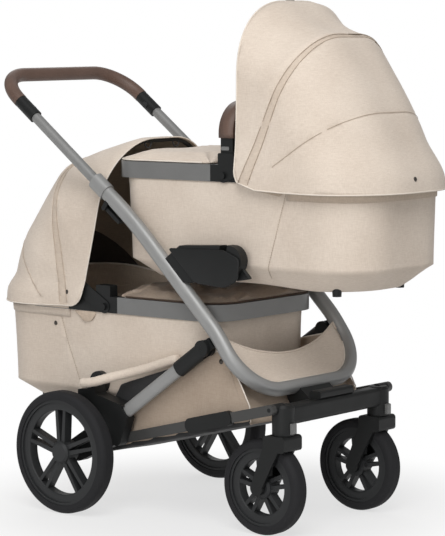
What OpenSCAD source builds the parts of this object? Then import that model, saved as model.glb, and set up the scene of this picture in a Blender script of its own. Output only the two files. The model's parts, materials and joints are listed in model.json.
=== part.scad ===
// Twin pram: a folding frame on four wheels that carries two carrycots, one above the other.
// Millimetres. +X is the way it rolls, +Y its left side, +Z up from the ground.

/* [Wheels] */
// Radius of a rear tyre
rear_r = 145; // [135:1:155]
// Width of a rear tyre
rear_tyre_w = 42; // [36:1:46]
// Distance of a rear wheel from the middle plane
rear_y = 280.5; // [274:0.5:300]
// Radius of a front tyre
front_r = 108.8; // [104:0.2:110]
// Width of a front tyre
front_tyre_w = 41; // [36:1:44]
// Distance of a front wheel from the middle plane
front_y = 177.5; // [174:0.5:180]
// Distance from the rear axle to the front axle
wheelbase = 524; // [518:1:530]
// How far a front wheel trails behind its stem
trail = 53.5; // [48:0.5:58]
// Height of the tyre rubber above the rim
tyre_h = 20; // [17:1:22]
// Radial depth of the rim ring
ring_h = 25; // [20:1:30]
// Number of twin-rib spokes in a wheel
spokes = 5; // [4:1:6]
// Radius of a wheel hub
hub_r = 27; // [23:1:30]
// Radius of a rear axle pin
rear_pin_r = 6; // [5:0.5:8]
// Radius of a front axle pin
front_pin_r = 5; // [4:0.5:6]

/* [Main tubes] */
// Distance of a main tube from the middle plane
tube_y = 215; // [214:0.5:218]
// Height of the tube section
tube_h = 36; // [34:1:38]
// Width of the tube section
tube_w = 30; // [29:0.5:30]
// Wall of the tube
tube_wall = 2; // [1.5:0.5:2]
// Top end of the tube, along X
tube_top_x = 55; // [50:1:60]
// Top end of the tube, above the ground
tube_top_z = 779; // [775:1:785]
// Slope of the telescopic stretch
top_slope = 37; // [36:0.5:38]
// Slope of the long middle stretch
mid_slope = 44.3; // [43:0.1:45]
// Slope of the front hoop
hoop_slope = 54; // [53:0.5:55]
// Length of the straight telescopic stretch
top_len = 70; // [60:1:80]
// Bend radius below that stretch
top_bend = 1100; // [1000:10:1200]
// Length of the straight middle stretch
mid_len = 248; // [240:1:256]
// Bend radius into the hoop
low_bend = 350; // [300:10:400]
// Straight stretch before a hoop corner
hoop_lead = 18; // [12:1:24]
// Bend radius of a hoop corner
hoop_bend = 115; // [100:1:125]

/* [Push handle] */
// Diameter of the telescopic tube
handle_d = 25; // [23:0.5:25]
// Length of that tube inside the main tube
handle_in = 60; // [50:1:62]
// Length of that tube in the open
handle_out = 246; // [220:1:260]
// Length of the black sleeve on each side
sleeve_len = 62; // [40:1:64]
// Diameter of the sleeve
sleeve_d = 32; // [30:1:34]
// Diameter of the grip
grip_d = 33; // [31:1:36]
// Reach of the handle above the sleeve's lower end
handle_rise = 162; // [158:1:180]
// Bend radius of a handle corner
handle_bend = 92; // [80:1:98]

/* [Folding legs] */
// Length of a leg from its pivot to the axle
leg_len = 473; // [465:1:480]
// Slope of a leg
leg_slope = 34.9; // [34:0.1:36]
// Distance of a leg from the middle plane
leg_y = 222; // [221:0.5:223]
// Height of the leg tube section
leg_h = 32; // [28:1:33]
// Width of the leg tube section
leg_w = 20; // [17:1:21]
// Radius of the leg's hinge knuckle
knuckle_r = 19; // [17:0.5:20]
// Radius of a leg pivot pin
leg_pin_r = 5; // [4:0.5:6]
// Rear end of a lower rail, along X
rail_back_x = 125; // [120:1:130]
// Rear end of a lower rail, above the ground
rail_back_z = 181; // [178:1:184]
// Front end of a lower rail, above the ground
rail_front_z = 292; // [288:1:294]
// Height of a lower rail
rail_h = 30; // [26:1:34]
// Length of the rear part of a rail
rear_rail_len = 250; // [230:1:255]
// Length of the front part of a rail, with its sleeve
front_rail_len = 252; // [240:1:256]
// Length of the black sleeve on the front part
rail_sleeve_len = 140; // [120:1:150]

/* [Front end] */
// Radius of a stem housing
stem_r = 25.5; // [24:0.5:26]
// Top of the stem housings
stem_top = 300; // [298:1:306]
// Underside of the stem housings
stem_low = 232; // [230:1:236]
// Height of the cross beam
beam_h = 44; // [36:1:48]
// Depth of the cross beam
beam_d = 38; // [32:1:44]
// Radius of a swivel pin
swivel_r = 8; // [7:0.5:10]

/* [Carrycots] */
// Middle of the upper cot's sockets, along X
upper_x = 425; // [422:1:430]
// Rim of the upper cot, above the ground
upper_z = 829; // [826:1:836]
// Middle of the lower cot's sockets, along X
lower_x = 46; // [42:1:50]
// Rim of the lower cot, above the ground
lower_z = 508; // [504:1:512]
// Length from the sockets to the head end
head_len = 365; // [360:1:370]
// Length from the sockets to the foot end
foot_len = 357; // [350:1:360]
// Width of a cot over its rim
cot_w = 380; // [376:1:381]
// Height of the rim band
rim_h = 38; // [34:1:42]
// Thickness of the rim band
rim_t = 8; // [6:1:10]
// Depth of a cot below its rim top
cot_depth = 268; // [262:1:270]
// Depth of the crease where the sides turn in to the bottom
cot_crease = 228; // [220:1:234]
// Corner radius at the head end
head_corner = 150; // [145:1:155]
// Corner radius at the foot end
foot_corner = 75; // [65:1:85]
// Thickness of the padded tub wall
tub_t = 6; // [4:1:8]
// Length of a hub block on the rim
hub_len = 90; // [84:1:96]
// Height of the carry handle above the rim
carry_h = 142; // [136:1:150]
// Width of the carry handle
carry_w = 35; // [30:1:38]

/* [Canopies] */
// Radius of a canopy about its pivot
canopy_r = 392; // [390:1:396]
// Radius where the canopy rolls over to its sides
canopy_roll = 160; // [155:1:162]
// Thickness of the canopy cloth
cloth_t = 1.5; // [1.2:0.1:1.5]
// How far the upper canopy's front edge stands from its pivot
upper_edge = 39; // [36:1:42]
// How far the lower canopy's front edge stands from its pivot
lower_edge = 69; // [66:1:72]
// How far the lower canopy leans out over its cot
lower_lean = 14; // [12:1:14]
// Depth of the canopy skirt below the rim top
skirt = 50; // [46:1:54]

/* [Basket] */
// Half width over the basket walls
basket_y = 198.2; // [198:0.1:198.4]
// Thickness of the basket cloth and its board
basket_t = 3.5; // [3:0.5:4]
// Diameter of the padded roll along the top edge
roll_d = 28; // [26:1:28]

/* [Fits] */
// Running clearance round a pin
fit = 0.05; // [0.03:0.01:0.1]
// Gap between pieces that only lie side by side
gap = 0.3; // [0.3:0.05:0.4]

/* [Hidden] */
$fn = 64;
hull_fn = 32;
grey = [0.53, 0.53, 0.54];
silver = [0.7, 0.7, 0.69];
black = [0.17, 0.17, 0.18];
dark = [0.31, 0.31, 0.31];
rubber = [0.15, 0.15, 0.16];
beige = [0.84, 0.79, 0.73];
brown = [0.42, 0.34, 0.3];
umber = [0.43, 0.38, 0.32];
sides = [-1, 1];

// Centre line of a main tube, as X and Z at the end of each stretch
function ahead(p, slope, len) = p + len * [cos(slope), -sin(slope)];
function bend(p, r, from, to) = p + r * [sin(to) - sin(from), cos(to) - cos(from)];
tube_p0 = [tube_top_x, tube_top_z];
tube_p1 = ahead(tube_p0, top_slope, top_len);
tube_p2 = bend(tube_p1, top_bend, top_slope, mid_slope);
tube_p3 = ahead(tube_p2, mid_slope, mid_len);
tube_p4 = bend(tube_p3, low_bend, mid_slope, hoop_slope);
swage = 0.3;
swage_in = 4;
hoop_p = ahead(tube_p4, hoop_slope, hoop_lead + hoop_bend);

// Legs hang from a pivot behind each main tube and end at the rear axle
axle = [0, rear_r];
leg_turn = 180 - leg_slope;
pivot = axle + leg_len * [cos(leg_slope), sin(leg_slope)];
stem_x = wheelbase + trail;
rail_back = [rail_back_x, rail_back_z];
rail_front = [stem_x - 4, rail_front_z];
rail_slope = atan2(rail_front.y - rail_back.y, rail_front.x - rail_back.x);
rail_inner_y = [basket_y + gap, basket_y + 11.3];
rail_outer_y = [basket_y + 11.8, basket_y + 25.8];
boss_r = rail_h / 2 - 3;

// Cots: the pivot of a canopy against its hub, and the dock below the rim
canopy_pivot = [-5, -24];
canopy_pin_r = 8;
dock = [15, -205];
dock_r = 10;
layer = cloth_t + 0.4;
bow_y = cot_w / 2 + 0.4;
bow_t = 2;
cloth_y = bow_y + bow_t + 0.4;
mid_x = (upper_x + lower_x) / 2;

// Shared shapes

// A slot outline: long along x, with round ends
module obround(long, short) {
    square([long - short, short], center = true);
    for (s = sides) translate([s * (long - short) / 2, 0]) circle(d = short);
}

// A rectangle from its two corners, with rounded corners
module rounded(a, b, r) {
    translate([a.x + r, a.y]) square([b.x - a.x - 2 * r, b.y - a.y]);
    translate([a.x, a.y + r]) square([b.x - a.x, b.y - a.y - 2 * r]);
    for (x = [a.x + r, b.x - r], y = [a.y + r, b.y - r]) translate([x, y]) circle(r);
}

// Puts an outline drawn in X and Z between two distances along Y
module slab(y0, y1) translate([0, y1, 0]) rotate([90, 0, 0]) linear_extrude(y1 - y0) children();

// The same slab on the right and on the left
module both_slabs(y0, y1) {
    slab(y0, y1) children();
    slab(-y1, -y0) children();
}

// Starts at p and points down a slope: local z runs along it, local x points to its underside
module down(p, slope, y = 0) translate([p.x, y, p.y]) rotate([0, 90 + slope, 0]) children();

// Sweeps a section round a bend about Y that goes from one slope to a steeper one
module sweep(p, r, from, to, y) {
    translate([p.x - r * sin(from), y, p.y - r * cos(from)])
        rotate([90, 0, 0]) rotate([0, 0, 90 - to])
            rotate_extrude(angle = to - from, $fn = 360) translate([r, 0]) children();
}

// A round pin along Y through a point in X and Z
module pin_y(p, r, y0, y1) translate([p.x, y0, p.y]) rotate([-90, 0, 0]) cylinder(r = r, h = y1 - y0);

// A slab or a pin on one side only, between two distances from the middle plane
module side_slab(side, y0, y1) slab(side > 0 ? y0 : -y1, side > 0 ? y1 : -y0) children();

module side_pin(side, p, r, y0, y1) pin_y(p, r, side > 0 ? y0 : -y1, side > 0 ? y1 : -y0);

// Main tubes and hoop

module tube_outline(wall) obround(tube_h - 2 * wall, tube_w - 2 * wall);

module tube_section() difference() {
    tube_outline(0);
    tube_outline(tube_wall);
}

// Each main tube has a slightly drawn-in straight end, which the collar sits on, and three more stretches
module main_tube(side) color(grey) {
    y = side * tube_y;
    down(tube_p0, top_slope, y) linear_extrude(top_len + swage_in) difference() {
        tube_outline(swage);
        tube_outline(tube_wall + swage);
    }
    sweep(tube_p1, top_bend, top_slope, mid_slope, y) tube_section();
    down(tube_p2, mid_slope, y) linear_extrude(mid_len) tube_section();
    sweep(tube_p3, low_bend, mid_slope, hoop_slope, y) tube_section();
}

module front_hoop() color(grey) down(tube_p4, hoop_slope) {
    for (s = sides) translate([0, s * tube_y, 0]) linear_extrude(hoop_lead) tube_section();
    for (m = [0, 1]) mirror([0, m, 0])
        translate([0, hoop_bend - tube_y, hoop_lead]) rotate([0, 90, 0]) rotate([0, 0, 180])
            rotate_extrude(angle = 90, $fn = 128) translate([hoop_bend, 0]) rotate(90) tube_section();
    translate([0, 0, hoop_lead + hoop_bend]) rotate([90, 0, 0])
        linear_extrude(2 * (tube_y - hoop_bend), center = true) tube_section();
}

collar_len = 46;
collar_t = 3;
collar_cap = 6;

module tube_collars() color(dark) for (s = sides) down(tube_p0, top_slope, s * tube_y) difference() {
    translate([0, 0, -collar_cap]) linear_extrude(collar_len)
        obround(tube_h + 2 * collar_t, tube_w + 2 * collar_t - 2);
    linear_extrude(collar_len) obround(tube_h + 0.1, tube_w + 0.1);
    translate([0, 0, -2 * collar_cap]) cylinder(d = handle_d + 2 * fit, h = 3 * collar_cap);
}

// Push handle

module handle_path(d, from) {
    straight = handle_out + handle_rise - handle_bend;
    half = tube_y - handle_bend;
    for (s = sides) translate([0, s * tube_y, -straight]) cylinder(d = d, h = straight - from);
    for (m = [0, 1]) mirror([0, m, 0]) translate([0, handle_bend - tube_y, -straight])
        rotate([0, 90, 0]) rotate([0, 0, 270])
            rotate_extrude(angle = 90, $fn = 128) translate([handle_bend, 0]) circle(d = d);
    translate([0, half, -straight - handle_bend]) rotate([90, 0, 0]) cylinder(d = d, h = 2 * half);
}

clamp_from = 20;
clamp_len = 220;
tube_cut = 0.6;

// The tube is full size where it is bare, and a little drawn in below the grip and inside the main tubes
module handle_tube() color(silver) down(tube_p0, top_slope) difference() {
    union() {
        handle_path(handle_d - tube_cut, -handle_in);
        for (s = sides) translate([0, s * tube_y, -clamp_from - clamp_len])
            cylinder(d = handle_d, h = clamp_len);
    }
    for (s = sides) translate([0, s * tube_y, -handle_out])
        cylinder(d = handle_d - 2 * tube_wall, h = handle_out + handle_in + 1);
}

module handle_grip() color(brown) down(tube_p0, top_slope) difference() {
    handle_path(grip_d, handle_out + sleeve_len);
    handle_path(handle_d - tube_cut + 2 * fit, handle_out);
}

button_r = 8;
button_travel = 2;
button_at = 34;

module handle_sleeves() color(black) down(tube_p0, top_slope) for (s = sides)
    translate([0, s * tube_y, -handle_out - sleeve_len]) difference() {
        cylinder(d = sleeve_d, h = sleeve_len);
        translate([0, 0, -1]) cylinder(d = handle_d - tube_cut + 2 * fit, h = sleeve_len + 2);
        translate([0, 0, button_at]) rotate([90 * s, 0, 0]) cylinder(r = button_r + fit, h = sleeve_d);
    }

module handle_button(side) color(dark) down(tube_p0, top_slope)
    translate([0, side * tube_y, -handle_out - sleeve_len + button_at]) rotate([90 * side, 0, 0])
        translate([0, 0, handle_d / 2 + button_travel + gap])
            cylinder(r = button_r, h = sleeve_d / 2 - handle_d / 2);

// Fold levers under the main tubes

lever_at = 60;
lever_len = 58;
lever_w = 18;
lever_r = 6;
lever_pin_r = 3;
ear_t = 4;
lever_drop = tube_h / 2 + collar_t + 7;

module fold_lever(side) color(black) down(tube_p0, top_slope, side * tube_y)
    translate([lever_drop, 0, lever_at]) rotate([90, 0, 0]) difference() {
        linear_extrude(lever_w, center = true) {
            circle(lever_r);
            translate([1 - lever_r, 0]) square([9, lever_len - lever_r]);
            translate([-0.5, lever_len - lever_r]) circle(4.5);
        }
        cylinder(r = lever_pin_r + fit, h = 2 * lever_w, center = true);
    }

// Leg hinge on each main tube: a tongue behind the tube, with its pin, and the lever's ears

tongue_t = 10;
tongue_r = 14;
tongue_half = 13;
knuckle_w = 30;
low_bend_at = tube_p3 - low_bend * [sin(mid_slope), cos(mid_slope)];

module leg_hinge_lugs() color(black) for (s = sides) {
    translate([0, s * leg_y, 0]) rotate([90, 0, 0]) linear_extrude(tongue_t, center = true) intersection() {
        translate(low_bend_at) circle(low_bend - tube_h / 2 - 0.05, $fn = 360);
        translate(pivot) union() {
            circle(tongue_r);
            rotate(leg_slope) translate([0, -tongue_half]) square([60, 2 * tongue_half]);
        }
    }
    side_pin(s, pivot, leg_pin_r, leg_y - knuckle_w / 2 + 0.5, leg_y + knuckle_w / 2 - 0.5);
    down(tube_p0, top_slope, s * tube_y) for (e = sides) difference() {
        translate([0, e * (lever_w / 2 + gap + ear_t / 2), lever_at]) rotate([90, 0, 0])
            linear_extrude(ear_t, center = true) {
                translate([lever_drop, 0]) circle(lever_r);
                translate([0, -lever_r]) square([lever_drop, 2 * lever_r]);
            }
        linear_extrude(2 * lever_at) obround(tube_h + 0.1, tube_w + 0.1);
        mirror([1, 0, 0]) translate([0, -tube_w, 0]) cube([tube_h, 2 * tube_w, 2 * lever_at]);
    }
    down(tube_p0, top_slope, s * tube_y) translate([lever_drop, 0, lever_at]) rotate([90, 0, 0])
        cylinder(r = lever_pin_r, h = lever_w + 2 * (gap + ear_t), center = true);
}

// Legs, rear axle and rails

sleeve_top = 95;
tube_start = 50;
bracket_start = 290;
leg_end = 330;

module leg_at(side) down(pivot, leg_turn, side * leg_y) children();

module leg_tubes() color(grey) for (s = sides) leg_at(s) translate([0, 0, tube_start])
    linear_extrude(leg_end - tube_start) difference() {
        obround(leg_h, leg_w);
        obround(leg_h - 2 * tube_wall, leg_w - 2 * tube_wall);
    }

axle_boss_r = 28;
bracket_y = [rail_outer_y[0], leg_y + knuckle_w / 2];
bracket_half = 19;

bracket_at = pivot - bracket_start * [cos(leg_slope), sin(leg_slope)];
bracket_up = bracket_half * [-sin(leg_slope), cos(leg_slope)];
bracket_high = bracket_at + bracket_up;
bracket_low = bracket_at - bracket_up;
bracket_back = axle + [-20, 21];

module bracket_outline() {
    translate(axle) circle(axle_boss_r);
    translate(rail_back) circle(boss_r + 3);
    polygon([bracket_high, bracket_low, rail_back + [boss_r, -9], rail_back - [6, boss_r + 2],
        axle + [10, -axle_boss_r + 2], bracket_back]);
}

module leg_fittings() color(black) {
    for (s = sides) leg_at(s) difference() {
        union() {
            rotate([90, 0, 0]) cylinder(r = knuckle_r, h = knuckle_w, center = true);
            linear_extrude(sleeve_top) obround(2 * knuckle_r, knuckle_w);
        }
        translate([0, 0, tube_start]) linear_extrude(sleeve_top) obround(leg_h + 0.1, leg_w + 0.1);
        translate([-2 * knuckle_r, -tongue_t / 2 - gap, -2 * knuckle_r])
            cube([4 * knuckle_r, tongue_t + 2 * gap, 2 * knuckle_r + tongue_r + 2]);
        rotate([90, 0, 0]) cylinder(r = leg_pin_r + fit, h = 60, center = true);
    }
    difference() {
        both_slabs(bracket_y[0], bracket_y[1]) bracket_outline();
        for (s = sides) leg_at(s) translate([0, 0, bracket_start - 1])
            linear_extrude(leg_end - bracket_start + 1) obround(leg_h + 0.1, leg_w + 0.1);
        pin_y(axle, rear_pin_r + 0.05, -rear_y, rear_y);
    }
    for (s = sides) side_pin(s, rail_back, leg_pin_r, rail_inner_y[0], bracket_y[0]);
}

axle_tube_r = 14;
axle_end = 12;
rear_hub_back = 20;

module rear_axle() color(black) {
    pin_y(axle, axle_tube_r, -bracket_y[0], bracket_y[0]);
    for (s = sides) side_pin(s, axle, rear_pin_r, bracket_y[0], rear_y + axle_end);
    for (s = sides) side_pin(s, axle, rear_pin_r + 5, bracket_y[1], rear_y - rear_hub_back - 1);
}

// Cradle on each leg that the lower cot's dock pins rest in
lower_dock = [lower_x - dock.x, lower_z + dock.y];
cradle_y = [cot_w / 2 + 9.5, bracket_y[1]];

module lower_adapters() color(black) for (s = sides) difference() {
    side_slab(s, cradle_y[0], cradle_y[1]) polygon([lower_dock + [-26, -14], lower_dock + [-26, -dock_r - 14],
        axle + [28, 30], axle + [150, 117], lower_dock + [30, -20], lower_dock + [24, 12],
        lower_dock + [dock_r + 1, 12], lower_dock + [0, -8]]);
    pin_y(lower_dock, dock_r + gap, -rear_y, rear_y);
    slab(-rear_y, rear_y) translate(lower_dock + [-200, -dock_r - gap]) square([200, 300]);
    leg_at(s) linear_extrude(leg_len) obround(leg_h + 0.1, leg_w + 0.1);
    leg_at(s) translate([0, 0, bracket_start - 0.05]) linear_extrude(leg_len - bracket_start)
        square([2 * bracket_half + 0.1, 60], center = true);
    slab(-rear_y, rear_y) translate([0, 0.05])
        polygon([bracket_back, bracket_high, bracket_high - [0, 200], bracket_back - [0, 200]]);
    leg_at(s) translate([-60, -30, 0]) cube([60 - leg_h / 2 + 8, 60, leg_len]);
}

// A flat bar from a round eye at p, turned to its slope
module rail_bar(p, turn, len, y, side) side_slab(side, y[0], y[1]) translate(p) rotate(turn) {
    circle(boss_r);
    translate([0, -boss_r]) square([len, 2 * boss_r]);
}

module rear_rails() color(grey) for (s = sides) difference() {
    rail_bar(rail_back, rail_slope, rear_rail_len, rail_inner_y, s);
    pin_y(rail_back, leg_pin_r + fit, -rear_y, rear_y);
}

module front_rails() color(grey) for (s = sides) difference() {
    rail_bar(rail_front, 180 + rail_slope, front_rail_len - rail_sleeve_len, rail_outer_y, s);
    pin_y(rail_front, leg_pin_r + fit, -rear_y, rear_y);
}

module rail_sleeves() color(black) both_slabs(rail_outer_y[0], rail_outer_y[1] + 2)
    translate(rail_front) rotate(180 + rail_slope) translate([front_rail_len - rail_sleeve_len / 2, 0])
        obround(rail_sleeve_len, rail_h + 4);

pedal_y = [-165, -115];
pedal_ring_r = 21;

module brake_pedal() color(black) difference() {
    union() {
        pin_y(axle, pedal_ring_r, pedal_y[0], pedal_y[1]);
        slab(pedal_y[0], pedal_y[1]) translate(axle) rotate(200) translate([0, -7])
            rounded([0, 0], [68, 14], 6);
    }
    pin_y(axle, axle_tube_r + fit, pedal_y[0] - 1, pedal_y[1] + 1);
}

// Wheels, drawn with their axle along Y and their outer face towards +Y

module turned() rotate([-90, 0, 0]) rotate_extrude($fn = 128) children();

bead_gap = 0.05;

module tyre(r, w) color(rubber) turned() difference() {
    shoulder = tyre_h * 0.6;
    union() {
        translate([r - tyre_h, -w / 2]) square([tyre_h - shoulder, w]);
        translate([r - shoulder, 0]) rotate(90) obround(w, 2 * shoulder);
    }
    translate([0, -w]) square([r - tyre_h + bead_gap, 2 * w]);
}

cap_rim = 2;
cap_h = 7;

// A rim ring, twin-rib spokes and a capped hub; the axle hole goes in from the back as far as pin_end
module rim(r, w, pin, hub_back, hub_front, pin_end) color(dark) {
    outer = r - tyre_h;
    inner = outer - ring_h;
    lip = 6;
    difference() {
        union() {
            turned() {
                translate([outer - lip, -w / 2 + 3]) square([lip, w - 6]);
                translate([inner + 4, -w / 2 + 7]) square([ring_h - lip - 4, w - 14]);
                translate([inner + 4, 0]) rotate(90) obround(w - 14, 8);
                translate([0, -hub_back]) square([hub_r, hub_back + hub_front]);
                polygon([[0, hub_front - 1], [hub_r - 1, hub_front - 1], [hub_r - 1, hub_front + cap_rim],
                    [hub_r - 6, hub_front + cap_h], [0, hub_front + cap_h]]);
            }
            for (i = [0 : spokes - 1]) rotate([0, i * 360 / spokes, 0]) translate([0, w / 2 - 9, 0])
                rotate([90, 0, 0]) linear_extrude(w / 2 + 2) for (e = sides)
                    polygon([[e * 1.5, hub_r - 6], [e * 12, hub_r - 6], [e * 17, inner + 6],
                        [e * 9, inner + 6]]);
        }
        pin_y([0, 0], pin + fit, -w, pin_end);
    }
}

module at_rear(side) translate([axle.x, side * rear_y, axle.y]) mirror([0, side > 0 ? 0 : 1, 0]) children();

module at_front(side) translate([wheelbase, side * front_y, front_r])
    mirror([0, side > 0 ? 0 : 1, 0]) children();

module rear_rim() rim(rear_r, rear_tyre_w, rear_pin_r, rear_hub_back, axle_end + 1, axle_end + gap);

module front_rim() rim(front_r, front_tyre_w, front_pin_r, 19, 12, front_tyre_w);

// Forks: a crown under the stem, two legs and the axle pin, drawn round the wheel's centre

fork_in = front_tyre_w / 2 + 4;
fork_out = fork_in + 8;
crown_top = stem_low - 0.5 - front_r;
swivel_len = 52;

module fork() color(black) {
    difference() {
        union() {
            slab(-fork_out, fork_out) rounded([trail - 33, crown_top - 36], [trail + 27, crown_top], 8);
            for (s = sides) side_slab(s, fork_in, fork_out) {
                circle(17);
                polygon([[trail - 24, crown_top - 2], [trail + 24, crown_top - 8], [16.5, 2], [-14, 9]]);
            }
        }
        pin_y([0, 0], front_r + 3, -fork_in, fork_in);
        pin_y([0, 0], front_pin_r + fit, -fork_out - 1, fork_out + 1);
    }
    pin_y([0, 0], front_pin_r, -fork_out, fork_out);
    translate([trail, 0, crown_top - 1]) cylinder(r = swivel_r, h = swivel_len);
}

// Front beam with its two stem housings and the rail lugs

beam_back = stem_x - beam_d / 2;
beam_top = stem_top - 2;

module front_beam() color(black) {
    difference() {
        union() {
            slab(-front_y, front_y)
                rounded([beam_back, beam_top - beam_h], [beam_back + beam_d, beam_top], 9);
            for (s = sides) translate([stem_x, s * front_y, stem_low]) {
                cylinder(r = stem_r, h = stem_top - stem_low - 6);
                translate([0, 0, stem_top - stem_low - 6]) cylinder(r1 = stem_r, r2 = stem_r - 5, h = 6);
            }
            for (s = sides) side_pin(s, rail_front, boss_r, front_y, rail_outer_y[0] - 0.2);
        }
        for (s = sides) translate([stem_x, s * front_y, stem_low - 1])
            cylinder(r = swivel_r + fit, h = swivel_len + 2);
    }
    for (s = sides) side_pin(s, rail_front, leg_pin_r, rail_outer_y[0] - 1, rail_outer_y[1]);
}

cover_half = 62;

module beam_cover() color(black) slab(-cover_half, cover_half)
    rounded([beam_back + 3, beam_top], [beam_back + beam_d - 3, beam_top + 18], 6);

mount_half = 55;

module hoop_mount() color(black) difference() {
    slab(-mount_half, mount_half) polygon([hoop_p + [-22, -24], hoop_p + [4, 8],
        [beam_back - 0.05, beam_top - 4], [beam_back - 0.05, beam_top - beam_h + 10], hoop_p + [-6, -52]]);
    down(tube_p4, hoop_slope) translate([0, 0, hoop_lead + hoop_bend]) rotate([90, 0, 0])
        linear_extrude(2 * tube_y, center = true) obround(tube_h + 0.1, tube_w + 0.1);
}

module swivel_lock(side) color(grey) translate([stem_x, side * front_y, stem_low + 4]) difference() {
    translate([stem_r - 3, 0, 0]) rotate([90, 0, 0]) linear_extrude(14, center = true)
        rounded([0, 0], [10, 24], 3);
    translate([0, 0, -1]) cylinder(r = stem_r + gap, h = 40);
}

// Arms on the main tubes that the upper cot's dock pins drop into

upper_dock = [upper_x + dock.x, upper_z + dock.y];
lift_tilt = 13;
adapter_y = [cot_w / 2 + 9.5, cot_w / 2 + 34];
adapter_back = tube_p2 + 90 * [cos(mid_slope), -sin(mid_slope)];
adapter_r = 34;

module upper_adapters() color(black) for (s = sides) difference() {
    side_slab(s, adapter_y[0], adapter_y[1]) {
        translate(upper_dock + [22, -6]) circle(adapter_r);
        polygon([adapter_back + [-20, 22], adapter_back + [34, 62], upper_dock + [22, -6 + adapter_r],
            upper_dock + [22, -6 - adapter_r], adapter_back + [60, -22], adapter_back + [18, -20]]);
    }
    translate([upper_dock.x, 0, upper_dock.y]) rotate([0, lift_tilt, 0])
        translate([-dock_r - gap, -rear_y, 0]) cube([2 * (dock_r + gap), 2 * rear_y, 100]);
    pin_y(upper_dock, dock_r + gap, -rear_y, rear_y);
    down(tube_p2, mid_slope, s * tube_y) linear_extrude(mid_len) obround(tube_h + 0.1, tube_w + 0.1);
    down(tube_p2, mid_slope, s * tube_y) translate([0, -30, -60]) cube([60, 60, mid_len + 60]);
}

// Basket: floor and walls between the rails, a padded roll each side and the panel in the hoop

basket_back = 52;
basket_front = hoop_p.x - 24;
basket_rim = 236;
roll_from = [104, 320];
roll_to = [290, 381];
roll_out = 1;
roll_tilt = atan2(roll_to.y - roll_from.y, roll_to.x - roll_from.x);
roll_drop = (roll_d / 2 + gap) / cos(roll_tilt);
floor_drop = 26;
function rail_z(x) = rail_back_z + (x - rail_back_x) * tan(rail_slope);

module basket_side(inset) {
    z0 = rail_z(basket_back) - floor_drop;
    z1 = rail_z(basket_front) - floor_drop;
    polygon([[basket_back + inset, z0 + inset], [basket_front - inset, z1 + inset],
        [basket_front - inset, 296], [418, 398], roll_to + [18, 4], roll_to + [18, -roll_drop],
        roll_to - [0, roll_drop], roll_from - [0, roll_drop], [basket_back + inset + 10, basket_rim]]);
}

module basket() color(beige) difference() {
    slab(-basket_y, basket_y) basket_side(0);
    slab(-basket_y + basket_t, basket_y - basket_t) {
        basket_side(basket_t);
        translate([basket_back - 20, basket_rim]) square([500, 300]);
    }
}

module basket_rolls() color(beige) for (s = sides) {
    len = norm(roll_to - roll_from);
    translate([roll_from.x, s * (basket_y + roll_out), roll_from.y]) rotate([0, 90 - roll_tilt, 0]) {
        cylinder(d = roll_d, h = len);
        sphere(d = roll_d);
        translate([0, 0, len]) sphere(d = roll_d);
    }
}

scoop_t = 3;
scoop_rise = 135;
scoop_sag = 60;

module front_scoop() color(beige) down(tube_p4, hoop_slope) {
    low = hoop_lead + hoop_bend - tube_w / 2 - gap;
    half = tube_y - tube_w / 2 - gap;
    corner = hoop_bend - tube_w / 2 - gap;
    rotate([0, 90, 0]) linear_extrude(scoop_t, center = true) difference() {
        union() {
            translate([-low + corner, -half]) square([scoop_rise - corner, 2 * half]);
            translate([-low, -half + corner]) square([corner, 2 * half - 2 * corner]);
            for (s = sides) translate([-low + corner, s * (half - corner)]) circle(corner);
        }
        translate([-low + scoop_rise - scoop_sag + 400, 0]) circle(400, $fn = 180);
    }
}

// Carrycots, drawn with the socket at the origin, the head end towards +X and the rim top at z = 0

module cot_outline(side_in, head_in, foot_in, corner = head_corner) {
    w = cot_w / 2 - side_in;
    h = head_len - head_in;
    f = foot_len - foot_in;
    hc = min(corner, w - 10);
    fc = foot_corner;
    translate([-f + fc, -w]) square([f - fc + h - hc, 2 * w]);
    translate([h - hc - 1, -w + hc]) square([hc + 1, 2 * w - 2 * hc]);
    translate([-f, -w + fc]) square([fc + 1, 2 * w - 2 * fc]);
    for (s = sides) {
        translate([h - hc, s * (w - hc)]) circle(hc);
        translate([-f + fc, s * (w - fc)]) circle(fc);
    }
}

tub_corner = head_corner - 15;

module level(z, side_in, head_in, foot_in) translate([0, 0, z]) linear_extrude(0.1, $fn = hull_fn)
    cot_outline(side_in, head_in, foot_in, tub_corner);

module tub_form(t) hull() {
    level(-rim_h - 0.15 + (t > 0 ? 1 : 0), 3 + t, -4 + t, 20 + t);
    level(-cot_crease, 10 + t, -2 + t, 22 + t);
    level(-cot_depth + t, 50 + t, 58 + t, 74 + t);
}

hub_slot = hub_len + 0.1;

module cot_rim() color(grey) difference() {
    translate([0, 0, -rim_h]) linear_extrude(rim_h) difference() {
        cot_outline(0, 0, 0);
        cot_outline(rim_t, rim_t, rim_t);
    }
    translate([-hub_slot / 2, -cot_w, -rim_h - 1]) cube([hub_slot, 2 * cot_w, rim_h + 2]);
}

hub_back = cot_w / 2 - 26;
carry_t = 14;
carry_in = cot_w / 2 - 5 - carry_t;
socket_h = 26;
socket_len = carry_w + 10;
socket_deep = 24;
foot_pad_r = 12;
foot_pad_h = 18;
foot_pad_x = [-215, 258];
foot_pad_y = 118;

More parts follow.
